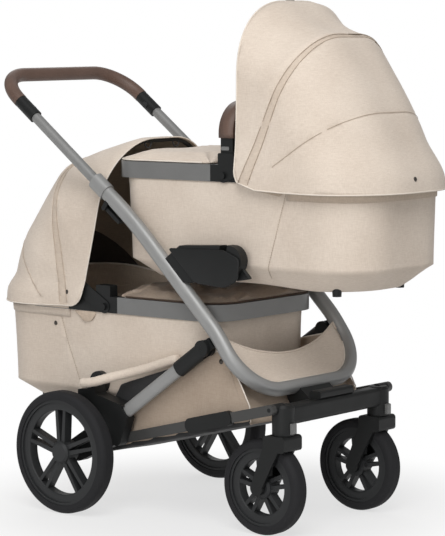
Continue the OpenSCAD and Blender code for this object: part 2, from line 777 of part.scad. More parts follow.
module cot_fittings() color(black) {
    for (s = sides) {
        difference() {
            side_slab(s, hub_back, cot_w / 2) {
                translate([-hub_len / 2, -rim_h]) square([hub_len, rim_h]);
                rounded([-socket_len / 2, -10], [socket_len / 2, socket_h], 4);
            }
            side_slab(s, carry_in - gap, carry_in + carry_t + gap)
                translate([-carry_w / 2 - gap, socket_h - socket_deep])
                    square([carry_w + 2 * gap, 2 * socket_deep]);
        }
        side_pin(s, canopy_pivot, canopy_pin_r, cot_w / 2 - 4, cloth_y + 3 * layer);
        difference() {
            union() {
                side_pin(s, dock, dock_r, cot_w / 2 - 40, cot_w / 2 + 27);
                side_pin(s, dock, dock_r + 16, cot_w / 2 - 40, cot_w / 2 + 6);
                for (x = foot_pad_x) translate([x, s * foot_pad_y, -cot_depth - foot_pad_h])
                    cylinder(r1 = foot_pad_r - 2, r2 = foot_pad_r, h = 2 * foot_pad_h);
            }
            tub_form(-gap);
        }
    }
}

module cot_tub() color(beige) difference() {
    tub_form(0);
    tub_form(tub_t);
}

mattress_h = 42;

module cot_mattress() color(beige) {
    low = -cot_depth + tub_t + gap;
    hull() {
        level(low, 74, 88, 98);
        level(low + 12, 64, 76, 88);
        level(low + mattress_h - 12, 56, 66, 80);
        level(low + mattress_h, 76, 88, 100);
    }
}

apron_h = 17;
apron_to = -48;

module cot_apron() intersection() {
    hull() {
        level(gap, 3, 3, 3);
        level(7, 2, 2, 2);
        level(apron_h, 70, 70, 60);
    }
    translate([apron_to - 2 * foot_len, -cot_w, -1]) cube([2 * foot_len, 2 * cot_w, 2 * apron_h]);
}

// Canopy cloth: a section turned about the pivot, in layers that slide over each other as it folds

module canopy_section(n) {
    w = cloth_y + n * layer;
    r = canopy_r - (2 - n) * layer - cloth_t;
    c = canopy_roll - (2 - n) * layer - cloth_t;
    difference() {
        arch(w + cloth_t, r + cloth_t, c + cloth_t);
        arch(w, r, c);
        translate([-1, -2 * w]) square([1 + canopy_pin_r + fit, 4 * w]);
    }
}

// Half an arch: out to r, half width w, corner radius c
module arch(w, r, c) {
    translate([0, -w]) square([r - c, 2 * w]);
    translate([0, c - w]) square([r, 2 * w - 2 * c]);
    for (s = sides) translate([r - c, s * (w - c)]) circle(c, $fn = 128);
}

// Turns a section about the pivot between two angles from upright, towards the head end
module canopy_turn(from, to) translate([canopy_pivot.x, 0, canopy_pivot.y]) rotate([90, 0, 0])
    rotate([0, 0, 90 - to]) rotate_extrude(angle = to - from, $fn = 180) children();

// All that lies on the head side of a plane beside the pivot, which leans out over the foot end
module behind_edge(edge, lean, len = 900) translate([canopy_pivot.x, 0, canopy_pivot.y]) rotate([0, -lean, 0])
    translate([edge, -450, -450]) cube([len, 900, 1350]);

skirt_end = 100;

module above_skirt() translate([-900, -450, -skirt]) cube([1800, 900, 900]);

module canopy_back(from) color(beige) intersection() {
    canopy_turn(from, skirt_end) canopy_section(0);
    above_skirt();
}

module canopy_mid(edge, lean, from, to) color(beige) intersection() {
    canopy_turn(from, to) canopy_section(1);
    behind_edge(edge, lean);
    above_skirt();
}

module canopy_front(edge, lean, to) color(beige) intersection() {
    canopy_turn(-lean, to) canopy_section(2);
    behind_edge(edge, lean);
    above_skirt();
}

bow_back = 10;
bow_w = 8;
arm_in = 0.1;
hold_from = 330;

// The front bow: an arch just behind the cloth's edge, an arm to each pivot, and a lip that holds the cloth
module canopy_bow(edge, lean) color(black) {
    w = bow_y + bow_t;
    r = canopy_r - 2 * layer - cloth_t - 0.4;
    c = canopy_roll - 2 * layer - cloth_t - 0.4;
    intersection() {
        canopy_turn(-lean, 80 - lean) difference() {
            arch(w, r, c);
            arch(bow_y, r - 6, c - 6);
        }
        behind_edge(edge + bow_back, lean, bow_w);
    }
    intersection() {
        canopy_turn(-lean, 60) difference() {
            arch(cloth_y + 2 * layer - 0.3, canopy_r - cloth_t - 0.3, canopy_roll - cloth_t - 0.3);
            arch(w - 1, r - 1, c - 1);
        }
        behind_edge(edge + bow_back + 1, lean, bow_w - 2);
        translate([canopy_pivot.x, 0, canopy_pivot.y]) rotate([0, -lean, 0]) translate([0, -450, hold_from])
            cube([900, 900, 400]);
    }
    translate([canopy_pivot.x, 0, canopy_pivot.y]) rotate([0, -lean, 0]) difference() {
        both_slabs(bow_y + arm_in, bow_y + bow_t - arm_in) {
            far = edge + bow_back + bow_w;
            circle(2 * canopy_pin_r);
            polygon([[-4, 15], [far - bow_w, 40], [far, 40], [far, 2], [0, -15]]);
        }
        pin_y([0, 0], canopy_pin_r + fit, -cot_w, cot_w);
    }
}

carry_bend = 62;
carry_cut = 60;

module carry_form(t, w, from) {
    top = carry_h - t / 2;
    half = carry_in + carry_t / 2;
    rotate([90, 0, 90]) linear_extrude(w, center = true) difference() {
        union() {
            for (s = sides) translate([s * half - t / 2, from]) square([t, top - carry_bend - from]);
            translate([-half + carry_bend, top - t / 2]) square([2 * (half - carry_bend), t]);
            for (s = sides) translate([s * (half - carry_bend), top - carry_bend]) intersection() {
                difference() {
                    circle(carry_bend + t / 2);
                    circle(carry_bend - t / 2);
                }
                translate([s > 0 ? 0 : -200, 0]) square(200);
            }
        }
    }
}

module carry_handle() color(black) carry_form(carry_t, carry_w, socket_h - socket_deep + gap);

module carry_grip() color(brown) difference() {
    carry_form(carry_t + 6, carry_w + 6, carry_cut);
    carry_form(carry_t + 0.1, carry_w + 0.1, 0);
}

module at_upper() translate([upper_x, 0, upper_z]) children();

module at_lower() translate([lower_x, 0, lower_z]) rotate([0, 0, 180]) children();

// Angles from upright where each layer of a canopy starts
mid_from = 35;
back_from = 71;
lower_mid_from = 22;
lower_back_from = 61;
overlap = 1;

// The whole pram stands with the middle of its length over the origin
module stand() translate([-mid_x, 0, 0]) children();

stand() main_tube(-1);  // main_tube_right
stand() main_tube(1);  // main_tube_left
stand() front_hoop();
stand() tube_collars();
stand() leg_hinge_lugs();
stand() front_beam();
stand() beam_cover();
stand() hoop_mount();
stand() upper_adapters();
stand() basket();
stand() basket_rolls();
stand() front_scoop();
stand() handle_tube();
stand() handle_grip();
stand() handle_sleeves();
stand() handle_button(-1);  // handle_button_right
stand() handle_button(1);  // handle_button_left
stand() fold_lever(-1);  // fold_lever_right
stand() fold_lever(1);  // fold_lever_left
stand() leg_tubes();
stand() leg_fittings();
stand() rear_axle();
stand() lower_adapters();
stand() rear_rails();
stand() front_rails();
stand() rail_sleeves();
stand() brake_pedal();
stand() at_rear(-1) tyre(rear_r, rear_tyre_w);  // rear_tyre_right
stand() at_rear(1) tyre(rear_r, rear_tyre_w);  // rear_tyre_left
stand() at_rear(-1) rear_rim();  // rear_rim_right
stand() at_rear(1) rear_rim();  // rear_rim_left
stand() at_front(-1) tyre(front_r, front_tyre_w);  // front_tyre_right
stand() at_front(1) tyre(front_r, front_tyre_w);  // front_tyre_left
stand() at_front(-1) front_rim();  // front_rim_right
stand() at_front(1) front_rim();  // front_rim_left
stand() at_front(-1) fork();  // fork_right
stand() at_front(1) fork();  // fork_left
stand() swivel_lock(-1);  // swivel_lock_right
stand() swivel_lock(1);  // swivel_lock_left
stand() at_upper() cot_rim();  // upper_rim
stand() at_upper() cot_fittings();  // upper_fittings
stand() at_upper() cot_tub();  // upper_tub
stand() at_upper() cot_mattress();  // upper_mattress
stand() at_upper() color(beige) cot_apron();  // upper_apron
stand() at_upper() canopy_back(back_from);  // upper_canopy_back
stand() at_upper() canopy_mid(upper_edge, 0, mid_from, back_from + overlap);  // upper_canopy_mid
stand() at_upper() canopy_front(upper_edge, 0, mid_from + overlap);  // upper_canopy_front
stand() at_upper() canopy_bow(upper_edge, 0);  // upper_canopy_bow
stand() at_upper() carry_handle();
stand() at_upper() carry_grip();
stand() at_lower() cot_rim();  // lower_rim
stand() at_lower() cot_fittings();  // lower_fittings
stand() at_lower() cot_tub();  // lower_tub
stand() at_lower() cot_mattress();  // lower_mattress
stand() at_lower() color(umber) cot_apron();  // lower_apron
stand() at_lower() canopy_back(lower_back_from);  // lower_canopy_back
stand() at_lower() canopy_mid(lower_edge, lower_lean, lower_mid_from, lower_back_from + overlap);  // lower_canopy_mid
stand() at_lower() canopy_front(lower_edge, lower_lean, lower_mid_from + overlap);  // lower_canopy_front
stand() at_lower() canopy_bow(lower_edge, lower_lean);  // lower_canopy_bow
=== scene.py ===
# %% [markdown]
# A twin pram: a grey folding frame on four wheels that carries two carrycots, one above the other.
# The frame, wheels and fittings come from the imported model. This lesson dresses them: it sews the two
# canopies, stretches the cot bodies, pads the covers and the mattresses, and hangs the basket.

# %% Load the frame
import json
import math

import bmesh
import bpy
from mathutils import Matrix, Vector, noise


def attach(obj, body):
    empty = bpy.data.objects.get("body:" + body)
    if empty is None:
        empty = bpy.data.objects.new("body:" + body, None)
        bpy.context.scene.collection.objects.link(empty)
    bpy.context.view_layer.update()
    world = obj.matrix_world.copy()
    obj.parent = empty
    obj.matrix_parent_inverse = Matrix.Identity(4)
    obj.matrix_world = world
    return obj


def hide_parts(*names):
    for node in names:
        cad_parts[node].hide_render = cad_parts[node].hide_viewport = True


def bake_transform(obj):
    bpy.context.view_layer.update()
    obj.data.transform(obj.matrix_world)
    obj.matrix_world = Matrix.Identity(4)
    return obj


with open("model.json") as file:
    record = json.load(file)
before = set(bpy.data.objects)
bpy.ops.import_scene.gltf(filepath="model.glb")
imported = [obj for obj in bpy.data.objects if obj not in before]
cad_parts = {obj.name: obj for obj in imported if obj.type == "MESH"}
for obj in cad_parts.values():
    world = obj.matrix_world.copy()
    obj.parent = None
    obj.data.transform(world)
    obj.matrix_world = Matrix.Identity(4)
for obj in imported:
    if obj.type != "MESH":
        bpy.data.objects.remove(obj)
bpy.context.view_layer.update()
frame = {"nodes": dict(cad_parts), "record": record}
nodes = frame["nodes"]

# %% [markdown]
# The camera stands where the photographer stood: in front of the pram's right side, a little above it,
# with a long lens. Its place and its turn are set as a matrix of right, up and back directions, because
# that keeps the small roll that an aimed camera would lose.

# %% Camera
YAW, PITCH, ROLL = (math.radians(a) for a in (40.08, 5.75, -0.42))
CAMERA_AT = Vector((3.5867, -4.2398, 1.1296))
back = Vector((math.sin(YAW) * math.cos(PITCH), -math.cos(YAW) * math.cos(PITCH), math.sin(PITCH)))
level = Vector((math.cos(YAW), math.sin(YAW), 0))
over = back.cross(level)
right = math.cos(ROLL) * level + math.sin(ROLL) * over
up = math.cos(ROLL) * over - math.sin(ROLL) * level


def put(name, data):
    """A new object in the scene that shows a mesh, a lamp or a camera."""
    made = bpy.data.objects.new(name, data)
    bpy.context.scene.collection.objects.link(made)
    return made


lens = bpy.data.cameras.new("camera")
lens.lens, lens.sensor_width = 158.7, 36
camera = put("camera", lens)
camera.matrix_world = Matrix([[right[i], up[i], back[i], CAMERA_AT[i]] for i in range(3)] + [[0, 0, 0, 1]])
bpy.context.scene.camera = camera
print("camera at", [round(c, 2) for c in CAMERA_AT], "lens", lens.lens)

# %% [markdown]
# Materials are built from nodes. One function turns a written colour into the linear colour of the
# shader, one fills in a node's sockets, and one adds a node. A pattern's scale is one over its real size
# in metres, because the pieces sit in metres and the patterns read Object coordinates.

# %% Material tools
def linear(written):
    """An sRGB colour such as #DCCFC3 as the linear colour that a shader takes."""
    parts = [int(written[i:i + 2], 16) / 255 for i in (1, 3, 5)]
    return [c / 12.92 if c <= 0.04045 else ((c + 0.055) / 1.055) ** 2.4 for c in parts] + [1.0]


def plug(tree, node, sockets):
    """Fills a node's sockets: each takes a value or a (node, output) pair."""
    for key, value in sockets.items():
        if isinstance(value, tuple) and isinstance(value[0], bpy.types.Node):
            tree.links.new(value[0].outputs[value[1]], node.inputs[key])
        else:
            node.inputs[key].default_value = value


def add(tree, kind, sockets, **settings):
    """Adds a node with its sockets and its settings."""
    made = tree.nodes.new("ShaderNode" + kind)
    for key, value in settings.items():
        setattr(made, key, value)
    plug(tree, made, sockets)
    return made


def finish(name):
    """A new material with its node tree, its surface shader and the place that its patterns read."""
    material = bpy.data.materials.new(name)
    material.use_nodes = True
    tree = material.node_tree
    return material, tree, tree.nodes["Principled BSDF"], (add(tree, "TexCoord", {}), "Object")


def per_mm(size):
    """The scale of a pattern whose features are this many millimetres across."""
    return 1000 / size


def clouds(tree, place, size, detail):
    """A noise whose features are this many millimetres across."""
    return add(tree, "TexNoise", {"Vector": place, "Scale": per_mm(size), "Detail": detail})


def blended(tree, share, shade, light):
    """A mix of two written colours."""
    return add(tree, "MixRGB", {0: share, 1: linear(shade), 2: linear(light)})


# %% [markdown]
# The cots are sewn from a woven polyester that looks like linen. Up close it has slubby threads that cross,
# and its colour drifts a little from patch to patch. The real threads are half a millimetre apart, too
# fine for this picture, so they are drawn about three times as coarse. A sheen softens the edges.

# %% Woven cloth
SLUB = 0.12  # a slub is about eight times as long as it is thick


def woven(name, light, shade, thread, rough, sheen, depth):
    """A plain weave: slubs along and across, a slow drift of colour, and a bump from the threads."""
    material, tree, surface, place = finish(name)
    lying = add(tree, "Mapping", {"Vector": place, "Scale": (SLUB, SLUB, 1)})
    standing = add(tree, "Mapping", {"Vector": place, "Scale": (1, 1, SLUB)})
    weft = clouds(tree, (lying, 0), thread, 3.0)
    warp = clouds(tree, (standing, 0), thread, 3.0)
    drift = clouds(tree, place, 140, 2.0)
    both = add(tree, "Math", {0: (weft, "Fac"), 1: (warp, "Fac")}, operation="ADD")
    mixed = add(tree, "Math", {0: (drift, "Fac"), 1: 0.9, 2: (both, 0)}, operation="MULTIPLY_ADD")
    share = add(tree, "MapRange", {0: (mixed, 0), 1: 1.1, 2: 1.85, 3: 0.0, 4: 1.0})
    colour = blended(tree, (share, 0), shade, light)
    bump = add(tree, "Bump", {"Strength": 0.35, "Distance": depth / 1000, "Height": (both, 0)})
    plug(tree, surface, {"Base Color": (colour, 0), "Normal": (bump, 0), "Roughness": rough,
                         "Sheen Weight": sheen, "Sheen Roughness": 0.5})
    return material


linen = woven("woven_polyester_linen", "#DDD0C2", "#CBBCAD", 1.5, 0.88, 0.15, 0.4)
# A darker copy of the linen: painted shade of the fold between a canopy's two front seams.
linen_fold_shade = woven("woven_polyester_linen_painted_fold_shade", "#D3C4B4", "#C1B1A1", 1.5, 0.88, 0.15, 0.4)
# A darker copy of the linen for the basket: painted shade from the cot above it.
basket_linen_painted_shade = woven("polyester_linen_painted_shade", "#B2A190", "#A39180", 1.5, 0.8, 0.1, 0.4)
lining = woven("polyester_taffeta_lining", "#A4937F", "#8B7B6A", 1.5, 0.8, 0.1, 0.3)
# A dark copy of the lining: painted shade of the deep inside at the back of a canopy.
lining_painted_shade = woven("polyester_lining_painted_shade", "#453C34", "#352E28", 1.8, 0.85, 0.1, 0.4)
liner = woven("brushed_cotton_liner", "#C9B8A6", "#B09E8C", 1.5, 0.9, 0.2, 0.4)
coated = woven("coated_nylon_cover", "#A39382", "#86766A", 1.2, 0.5, 0.1, 0.2)
cotton = woven("quilted_cotton_jersey", "#E6DED4", "#D6CCBF", 1.8, 0.92, 0.25, 0.5)
black_cloth = woven("black_nylon_webbing", "#2A2A2B", "#1D1D1E", 1.4, 0.75, 0.1, 0.4)
print("cloths", len(bpy.data.materials))

# %% [markdown]
# The frame is lacquered aluminium, the telescopic handle is bare anodised tube, and the fittings are
# moulded plastic with a spark-eroded grain. They share one recipe: a colour that drifts slightly, a fine
# grain in the bump, and a roughness that varies where hands and dust have been.

# %% Metals, plastics and rubber
def moulded(name, light, shade, metal, rough, grain, depth):
    """A hard finish: metal or plastic, with a fine grain and a slow drift of colour and gloss."""
    material, tree, surface, place = finish(name)
    fine = clouds(tree, place, grain, 2.0)
    drift = clouds(tree, place, 60, 4.0)
    colour = blended(tree, (drift, "Fac"), shade, light)
    gloss = add(tree, "MapRange", {0: (drift, "Fac"), 1: 0.3, 2: 0.7, 3: rough - 0.06, 4: rough + 0.06})
    bump = add(tree, "Bump", {"Strength": 0.25, "Distance": depth / 1000, "Height": (fine, "Fac")})
    plug(tree, surface, {"Base Color": (colour, 0), "Roughness": (gloss, 0), "Normal": (bump, 0),
                         "Metallic": metal, "Specular IOR Level": 0.5 if metal else 0.3})
    return material


def threaded(name, light, shade):
    """A sewing thread, drawn as a dull hard finish."""
    return moulded(name, light, shade, 0, 0.8, 0.6, 0.1)


lacquer = moulded("lacquered_aluminium_grey", "#9C9C9B", "#8E8E8D", 0.35, 0.46, 0.8, 0.02)
anodised = moulded("anodised_aluminium_silver", "#8F8F8E", "#828281", 0.35, 0.46, 0.6, 0.02)
graphite = moulded("anodised_aluminium_graphite", "#4B4B4A", "#403F3E", 0.35, 0.45, 0.6, 0.02)
black = moulded("moulded_abs_black", "#1B1C1C", "#141515", 0, 0.52, 1.2, 0.08)
dark = moulded("moulded_nylon_dark_grey", "#2F3031", "#262728", 0, 0.5, 1.2, 0.08)
satin = moulded("satin_abs_grey", "#7C7C7B", "#6E6E6D", 0.25, 0.4, 1.0, 0.04)
rubber = moulded("eva_foam_rubber_tyre", "#252527", "#1C1C1E", 0, 0.78, 2.0, 0.2)
gunmetal = moulded("gunmetal_snap", "#55504B", "#3E3A36", 0.7, 0.38, 0.5, 0.02)
thread = threaded("polyester_thread_tan", "#B3A290", "#A49381")
pale_thread = threaded("polyester_thread_sand", "#C3B3A2", "#B5A594")
dark_thread = threaded("polyester_thread_brown", "#4C3D34", "#3E322A")
piping = moulded("polyester_piping_cream", "#E6DDD2", "#D8CDC0", 0, 0.85, 1.0, 0.1)
print("cloths and hard finishes", len(bpy.data.materials))

# %% [markdown]
# The grips are wrapped in brown leatherette. Its grain is made of small rounded cells about a
# millimetre and a half across, so a Voronoi pattern gives the bump, and the valleys are a little darker.

# %% Leatherette
leather, tree, surface, place = finish("embossed_leatherette_brown")
cells = add(tree, "TexVoronoi", {"Vector": place, "Scale": per_mm(1.6)}, feature="F1")
drift = clouds(tree, place, 45, 3.0)
worn = blended(tree, (drift, "Fac"), "#5C473D", "#785F53")
depth = add(tree, "MapRange", {0: (cells, "Distance"), 1: 0.1, 2: 0.7, 3: 0.0, 4: 0.5})
shaded = add(tree, "MixRGB", {0: (depth, 0), 1: (worn, 0), 2: linear("#4A382F")})
bump = add(tree, "Bump", {"Strength": 0.4, "Distance": 0.0003, "Height": (cells, "Distance")}, invert=True)
plug(tree, surface, {"Base Color": (shaded, 0), "Normal": (bump, 0), "Roughness": 0.52})
print("leatherette", leather.name)

# %% [markdown]
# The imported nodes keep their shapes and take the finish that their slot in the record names. The collars
# and the lower rails differ from their slot: on the real frame the collars are lacquered like the tubes
# and the rails are a darker grey. The meshes are loose triangles, so only the material changes.

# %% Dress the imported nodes
FINISHES = {"tube_grey": lacquer, "tube_silver": anodised, "black_plastic": black, "dark_plastic": dark,
            "grey_plastic": satin, "tyre_rubber": rubber, "beige_cloth": linen, "umber_cloth": coated,
            "brown_leatherette": leather, "mattress_cover": cotton}
for part in frame["record"]["subparts"]:
    node = nodes[part["node"]]
    node.data.materials.clear()
    node.data.materials.append(FINISHES[part["material_slot"]])
for name, other in (("tube_collars", lacquer), ("rear_rails", graphite), ("front_rails", graphite)):
    nodes[name].data.materials[0] = other
print("dressed", len(nodes), "nodes")

# %% [markdown]
# New pieces are drawn in millimetres, in the frame of the cot or the pram that they belong to, and one
# function turns such a bmesh into a piece in metres at its place. The upper cot's head end points
# forward, and the lower cot is the same cot turned round.

# %% Piece tools
TO_METRES = Matrix.Scale(0.001, 4)
MIDDLE = 235.5
UPPER = Matrix.Translation((425 - MIDDLE, 0, 829))
LOWER = Matrix.Translation((46 - MIDDLE, 0, 508)) @ Matrix.Rotation(math.pi, 4, "Z")
PRAM = Matrix.Translation((-MIDDLE, 0, 0))
SIDES = (("right", -1), ("left", 1))
COTS = (("upper", UPPER), ("lower", LOWER))


def dressed(mesh, materials):
    """Gives a mesh its materials and smooth shading."""
    for material in materials:
        mesh.materials.append(material)
    mesh.polygons.foreach_set("use_smooth", [True] * len(mesh.polygons))


def shown(name, mesh, materials):
    """An object for a mesh, with its materials."""
    dressed(mesh, materials)
    made = put(name, mesh)
    return made


def piece(name, bm, place, materials):
    """Makes an object from a bmesh in millimetres and puts its place into its mesh."""
    bmesh.ops.transform(bm, matrix=TO_METRES @ place, verts=bm.verts)
    mesh = bpy.data.meshes.new(name)
    bm.to_mesh(mesh)
    bm.free()
    return shown(name, mesh, materials)


def tube(name, points, radius, place, material):
    """A round cord of piping or hem along some points, as a mesh."""
    line = bpy.data.curves.new(name + "_line", "CURVE")
    line.dimensions, line.bevel_depth, line.bevel_resolution = "3D", radius / 1000, 2
    line.use_fill_caps = True
    spline = line.splines.new("POLY")
    spline.points.add(len(points) - 1)
    for spot, point in zip(spline.points, points):
        spot.co = (*(TO_METRES @ place @ Vector(point)), 1)
    source = bpy.data.objects.new(name + "_line", line)
    mesh = bpy.data.meshes.new_from_object(source)
    mesh.name = name
    mesh.materials.clear()
    bpy.data.objects.remove(source)
    return shown(name, mesh, [material])


def thicken(made, thick, offset=-1, lining=0):
    """Gives a cloth so many millimetres of thickness; its inner side may take the next material."""
    wall = made.modifiers.new("wall", "SOLIDIFY")
    wall.thickness, wall.offset, wall.material_offset = thick / 1000, offset, lining


def riding(body, *parts):
    """Fixes pieces to a body."""
    for part in parts:
        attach(part, body)


def cloth_area(made):
    """The area of a piece in square metres."""
    return sum(p.area for p in made.data.polygons)


def spaced(points, step):
    """The same line with its points a given step apart."""
    line = [Vector(points[0])]
    left = step
    for a, b in zip(points, points[1:]):
        a, b = Vector(a), Vector(b)
        span = (b - a).length
        while span >= left and span > 0:
            a = a + (b - a) * (left / span)
            line.append(a.copy())
            span = (b - a).length
            left = step
        left -= span
    return line


def faced(bm):
    """Makes the faces of a mesh agree about which side is out."""
    bmesh.ops.recalc_face_normals(bm, faces=bm.faces)


def aimed(at, facing):
    """A place at a point, with its upright axis turned to face a direction."""
    turn = Vector((0, 0, 1)).rotation_difference(Vector(facing)).to_matrix().to_4x4()
    return Matrix.Translation(at) @ turn


def stitches(name, points, place, material, long, gap, thick):
    """A row of thread stitches along a line: each is a short six-sided rod."""
    bm = bmesh.new()
    line = spaced(points, (long + gap) / 2)
    for a, b in list(zip(line, line[1:]))[::2]:
        if (b - a).length < 0.5:
            continue
        bmesh.ops.create_cone(bm, cap_ends=True, segments=6, radius1=thick, radius2=thick, depth=long,
                              matrix=aimed((a + b) / 2, b - a))
    return piece(name, bm, place, [material])


def strung(bm, points):
    """Adds some points and the edges between them to a mesh."""
    verts = [bm.verts.new(p) for p in points]
    return verts + [bm.edges.new(pair) for pair in zip(verts, verts[1:])]


def picked(geometry, kind=bmesh.types.BMVert):
    """The points, or another kind, from what an operator made."""
    return [g for g in geometry if isinstance(g, kind)]


def ease(t):
    """A smooth step from 0 to 1."""
    t = min(1.0, max(0.0, t))
    return t * t * (3 - 2 * t)


def ripple(point, size, seed=0.0):
    """A smooth random number from -1 to 1 that changes over this many millimetres."""
    return noise.noise(Vector(point) / size + Vector((seed, seed * 1.7, -seed)))


print("cots at", [[round(c) for c in place.translation] for place in (UPPER, LOWER)])

# %% [markdown]
# A canopy is one cloth held by bows. It starts as a round hood: the profile of a bow is spun about the
# pivot. The cloth between two bows is drawn flat like a tent, so each point moves in towards the chord
# between its bows, and the front bow's corners are squarer than the others.

# %% Shape of a canopy
PIVOT = Vector((-5, 0, -24))
CANOPY_R, CANOPY_ROLL, CANOPY_HALF = 392.0, 160.0, 196.6
HOOD_MIDDLE = Vector((190, 0, 60))
HEM_CORNER, SEAM_DEPTH, SEAM_PROUD, SEAM_YARN = 42.0, 1.6, 1.9, 0.6


def bow_profile():
    """Half width and reach of a bow, from the right side over the top to the left."""
    side = [(CANOPY_HALF, 24 + i * (CANOPY_R - CANOPY_ROLL - 24) / 14) for i in range(14)]
    turn = [(CANOPY_HALF - CANOPY_ROLL + CANOPY_ROLL * math.cos(math.radians(a)),
             CANOPY_R - CANOPY_ROLL + CANOPY_ROLL * math.sin(math.radians(a))) for a in range(0, 91, 5)]
    half = side + turn + [(CANOPY_HALF - CANOPY_ROLL - 18, CANOPY_R), (0, CANOPY_R)]
    return [(-w, r) for w, r in half] + [(w, r) for w, r in reversed(half[:-1])]


def drawn_flat(point, bows):
    """Draws a point of the round hood in to the cloth between bows, given as (angle, reach, tightness)."""
    turn = math.degrees(math.atan2(point.x, point.z))
    for (a, reach_a, tight), (b, reach_b, _) in zip(bows, bows[1:]):
        if a <= turn <= b:
            half, middle = (b - a) / 2, (a + b) / 2
            rounded = reach_a + (reach_b - reach_a) * (turn - a) / (b - a)
            straight = reach_a * reach_b * math.sin(math.radians(b - a)) / (
                reach_a * math.sin(math.radians(turn - a)) + reach_b * math.sin(math.radians(b - turn)))
            keep = rounded - tight * (rounded - straight)
            slack = 1 - ((turn - middle) / half) ** 2
            reach = ease((math.hypot(point.x, point.z) - 60) / 200)
            return Vector((point.x * keep, point.y * (1 - 0.012 * slack * reach), point.z * keep))
    return point.copy()


def squared(point, push):
    """Pushes the round corners of the front bow out by some millimetres; the push fades to the rear."""
    wide, far = abs(point.y) - CANOPY_HALF + CANOPY_ROLL, math.hypot(point.x, point.z)
    high = far - CANOPY_R + CANOPY_ROLL
    if wide <= 0 or high <= 0:
        return point
    corner = math.atan2(high, wide)
    fade = ease((21 - math.degrees(math.atan2(point.x, point.z))) / 12)
    out = push * fade * math.sin(2 * corner) ** 2
    reach = 1 + out * math.sin(corner) / far
    y = point.y + math.copysign(out * math.cos(corner), point.y)
    return Vector((point.x * reach, y, point.z * reach))


print("bow points", len(bow_profile()))

# %% [markdown]
# Planes cut the hood to its front edge, its skirt and the rounded corner between them. The skirt flares
# out over the cot. The seams are cut where the bows lie and pressed in, and each carries a line of yarn.

# %% Cutting the hood
def cut(bm, at, facing, clear=True):
    """Cuts the whole mesh with a plane; what the plane faces is cleared away if asked."""
    everything = bm.verts[:] + bm.edges[:] + bm.faces[:]
    made = bmesh.ops.bisect_plane(bm, geom=everything, dist=0.01, plane_co=at, plane_no=facing,
                                  clear_outer=clear)
    return picked(made["geom_cut"])


def facing_out(v):
    """1 where a vertex normal points out of the hood, and -1 where it points in."""
    return 1 if v.normal.dot(v.co - HOOD_MIDDLE) > 0 else -1


def along_arch(verts, middle, lean):
    """The points of a seam in order, from the right foot over the top to the left foot."""
    across = Vector((math.sin(lean), 0, math.cos(lean)))

    def turn(p):
        return math.atan2((p - middle).dot(across), (p - middle).y)

    points = (v.co + v.normal * SEAM_PROUD * facing_out(v) for v in verts)
    return sorted(points, key=turn, reverse=True)


def seam_facing(slope):
    """The direction to the rear of a seam's plane, for the seam's slope from upright."""
    return Vector((math.cos(slope), 0, -math.sin(slope)))


def hood(seams, edge, lean, bows, skirt, flare, side_flare, rise, push, seed):
    """A canopy about its pivot, with its seam lines, in millimetres. The skirt flares out below its rise."""
    bm = bmesh.new()
    first, last = bows[0][0] - 18, 106
    bow = strung(bm, ((0, y, r) for y, r in bow_profile()))
    bmesh.ops.rotate(bm, verts=picked(bow), matrix=Matrix.Rotation(math.radians(first), 3, "Y"))
    bmesh.ops.spin(bm, geom=bow, cent=(0, 0, 0), axis=(0, 1, 0),
                   angle=math.radians(last - first), steps=round((last - first) / 2))
    bmesh.ops.remove_doubles(bm, verts=bm.verts, dist=0.01)
    for v in bm.verts:
        v.co = drawn_flat(squared(v.co, push), bows)
    front = Vector((-math.cos(lean), 0, -math.sin(lean)))
    cut(bm, -front * edge, front)
    cut(bm, Vector((0, 0, skirt)), Vector((0, 0, -1)))
    inner_z = skirt + HEM_CORNER
    inner = Vector(((edge + HEM_CORNER - inner_z * math.sin(lean)) / math.cos(lean), 0, inner_z))
    for k in range(1, 6):
        facing = front.lerp(Vector((0, 0, -1)), k / 6).normalized()
        cut(bm, inner + facing * HEM_CORNER, facing)
    lines = []
    for (x, z), slope in seams:
        base, rising = Vector((x, 0, z)), Vector((math.sin(slope), 0, math.cos(slope)))
        found = cut(bm, base, seam_facing(slope), clear=False)
        start = base + 120 * rising
        lines.append(([v for v in found if (v.co - start).dot(rising) > -150], start, slope))
    bm.normal_update()
    for v in bm.verts:
        low = ease((skirt + rise - v.co.z) / (rise - 20))
        head = ease((v.co.x - 190) / 120)
        away = Vector((max(0.0, v.co.x - 210), v.co.y, 0))
        if away.length > 1:
            v.co += away.normalized() * low * (side_flare + (flare - side_flare) * head)
        v.co.z -= 4 * ease((skirt + 20 - v.co.z) / 20) * ease((v.co.x - edge - 20) / 150)
        v.co += v.normal * 1.3 * ripple(v.co, 95, seed) * ease((v.co.x - edge) / 40)
    for keep, _, _ in lines:
        for v in keep:
            v.co -= v.normal * SEAM_DEPTH * facing_out(v)
    sewn = [along_arch(keep, start, slope) for keep, start, slope in lines]
    for v in bm.verts:
        v.co += PIVOT
    return bm, [[p + PIVOT for p in line] for line in sewn]


def outward(bm, middle):
    """Points all faces away from a middle point."""
    bm.normal_update()
    turned = [f for f in bm.faces if f.normal.dot(f.calc_center_median() - middle) < 0]
    bmesh.ops.reverse_faces(bm, faces=turned)
    bm.normal_update()


def walk(edges):
    """The points along a closed loop of edges in order; the last is the first again."""
    left = set(edges[1:])
    loop = list(edges[0].verts)
    while left:
        onward = [e for e in loop[-1].link_edges if e in left]
        if not onward:
            break
        left.discard(onward[0])
        loop.append(onward[0].other_vert(loop[-1]))
    return [v.co.copy() for v in loop]


print("hem corner", HEM_CORNER, "mm")
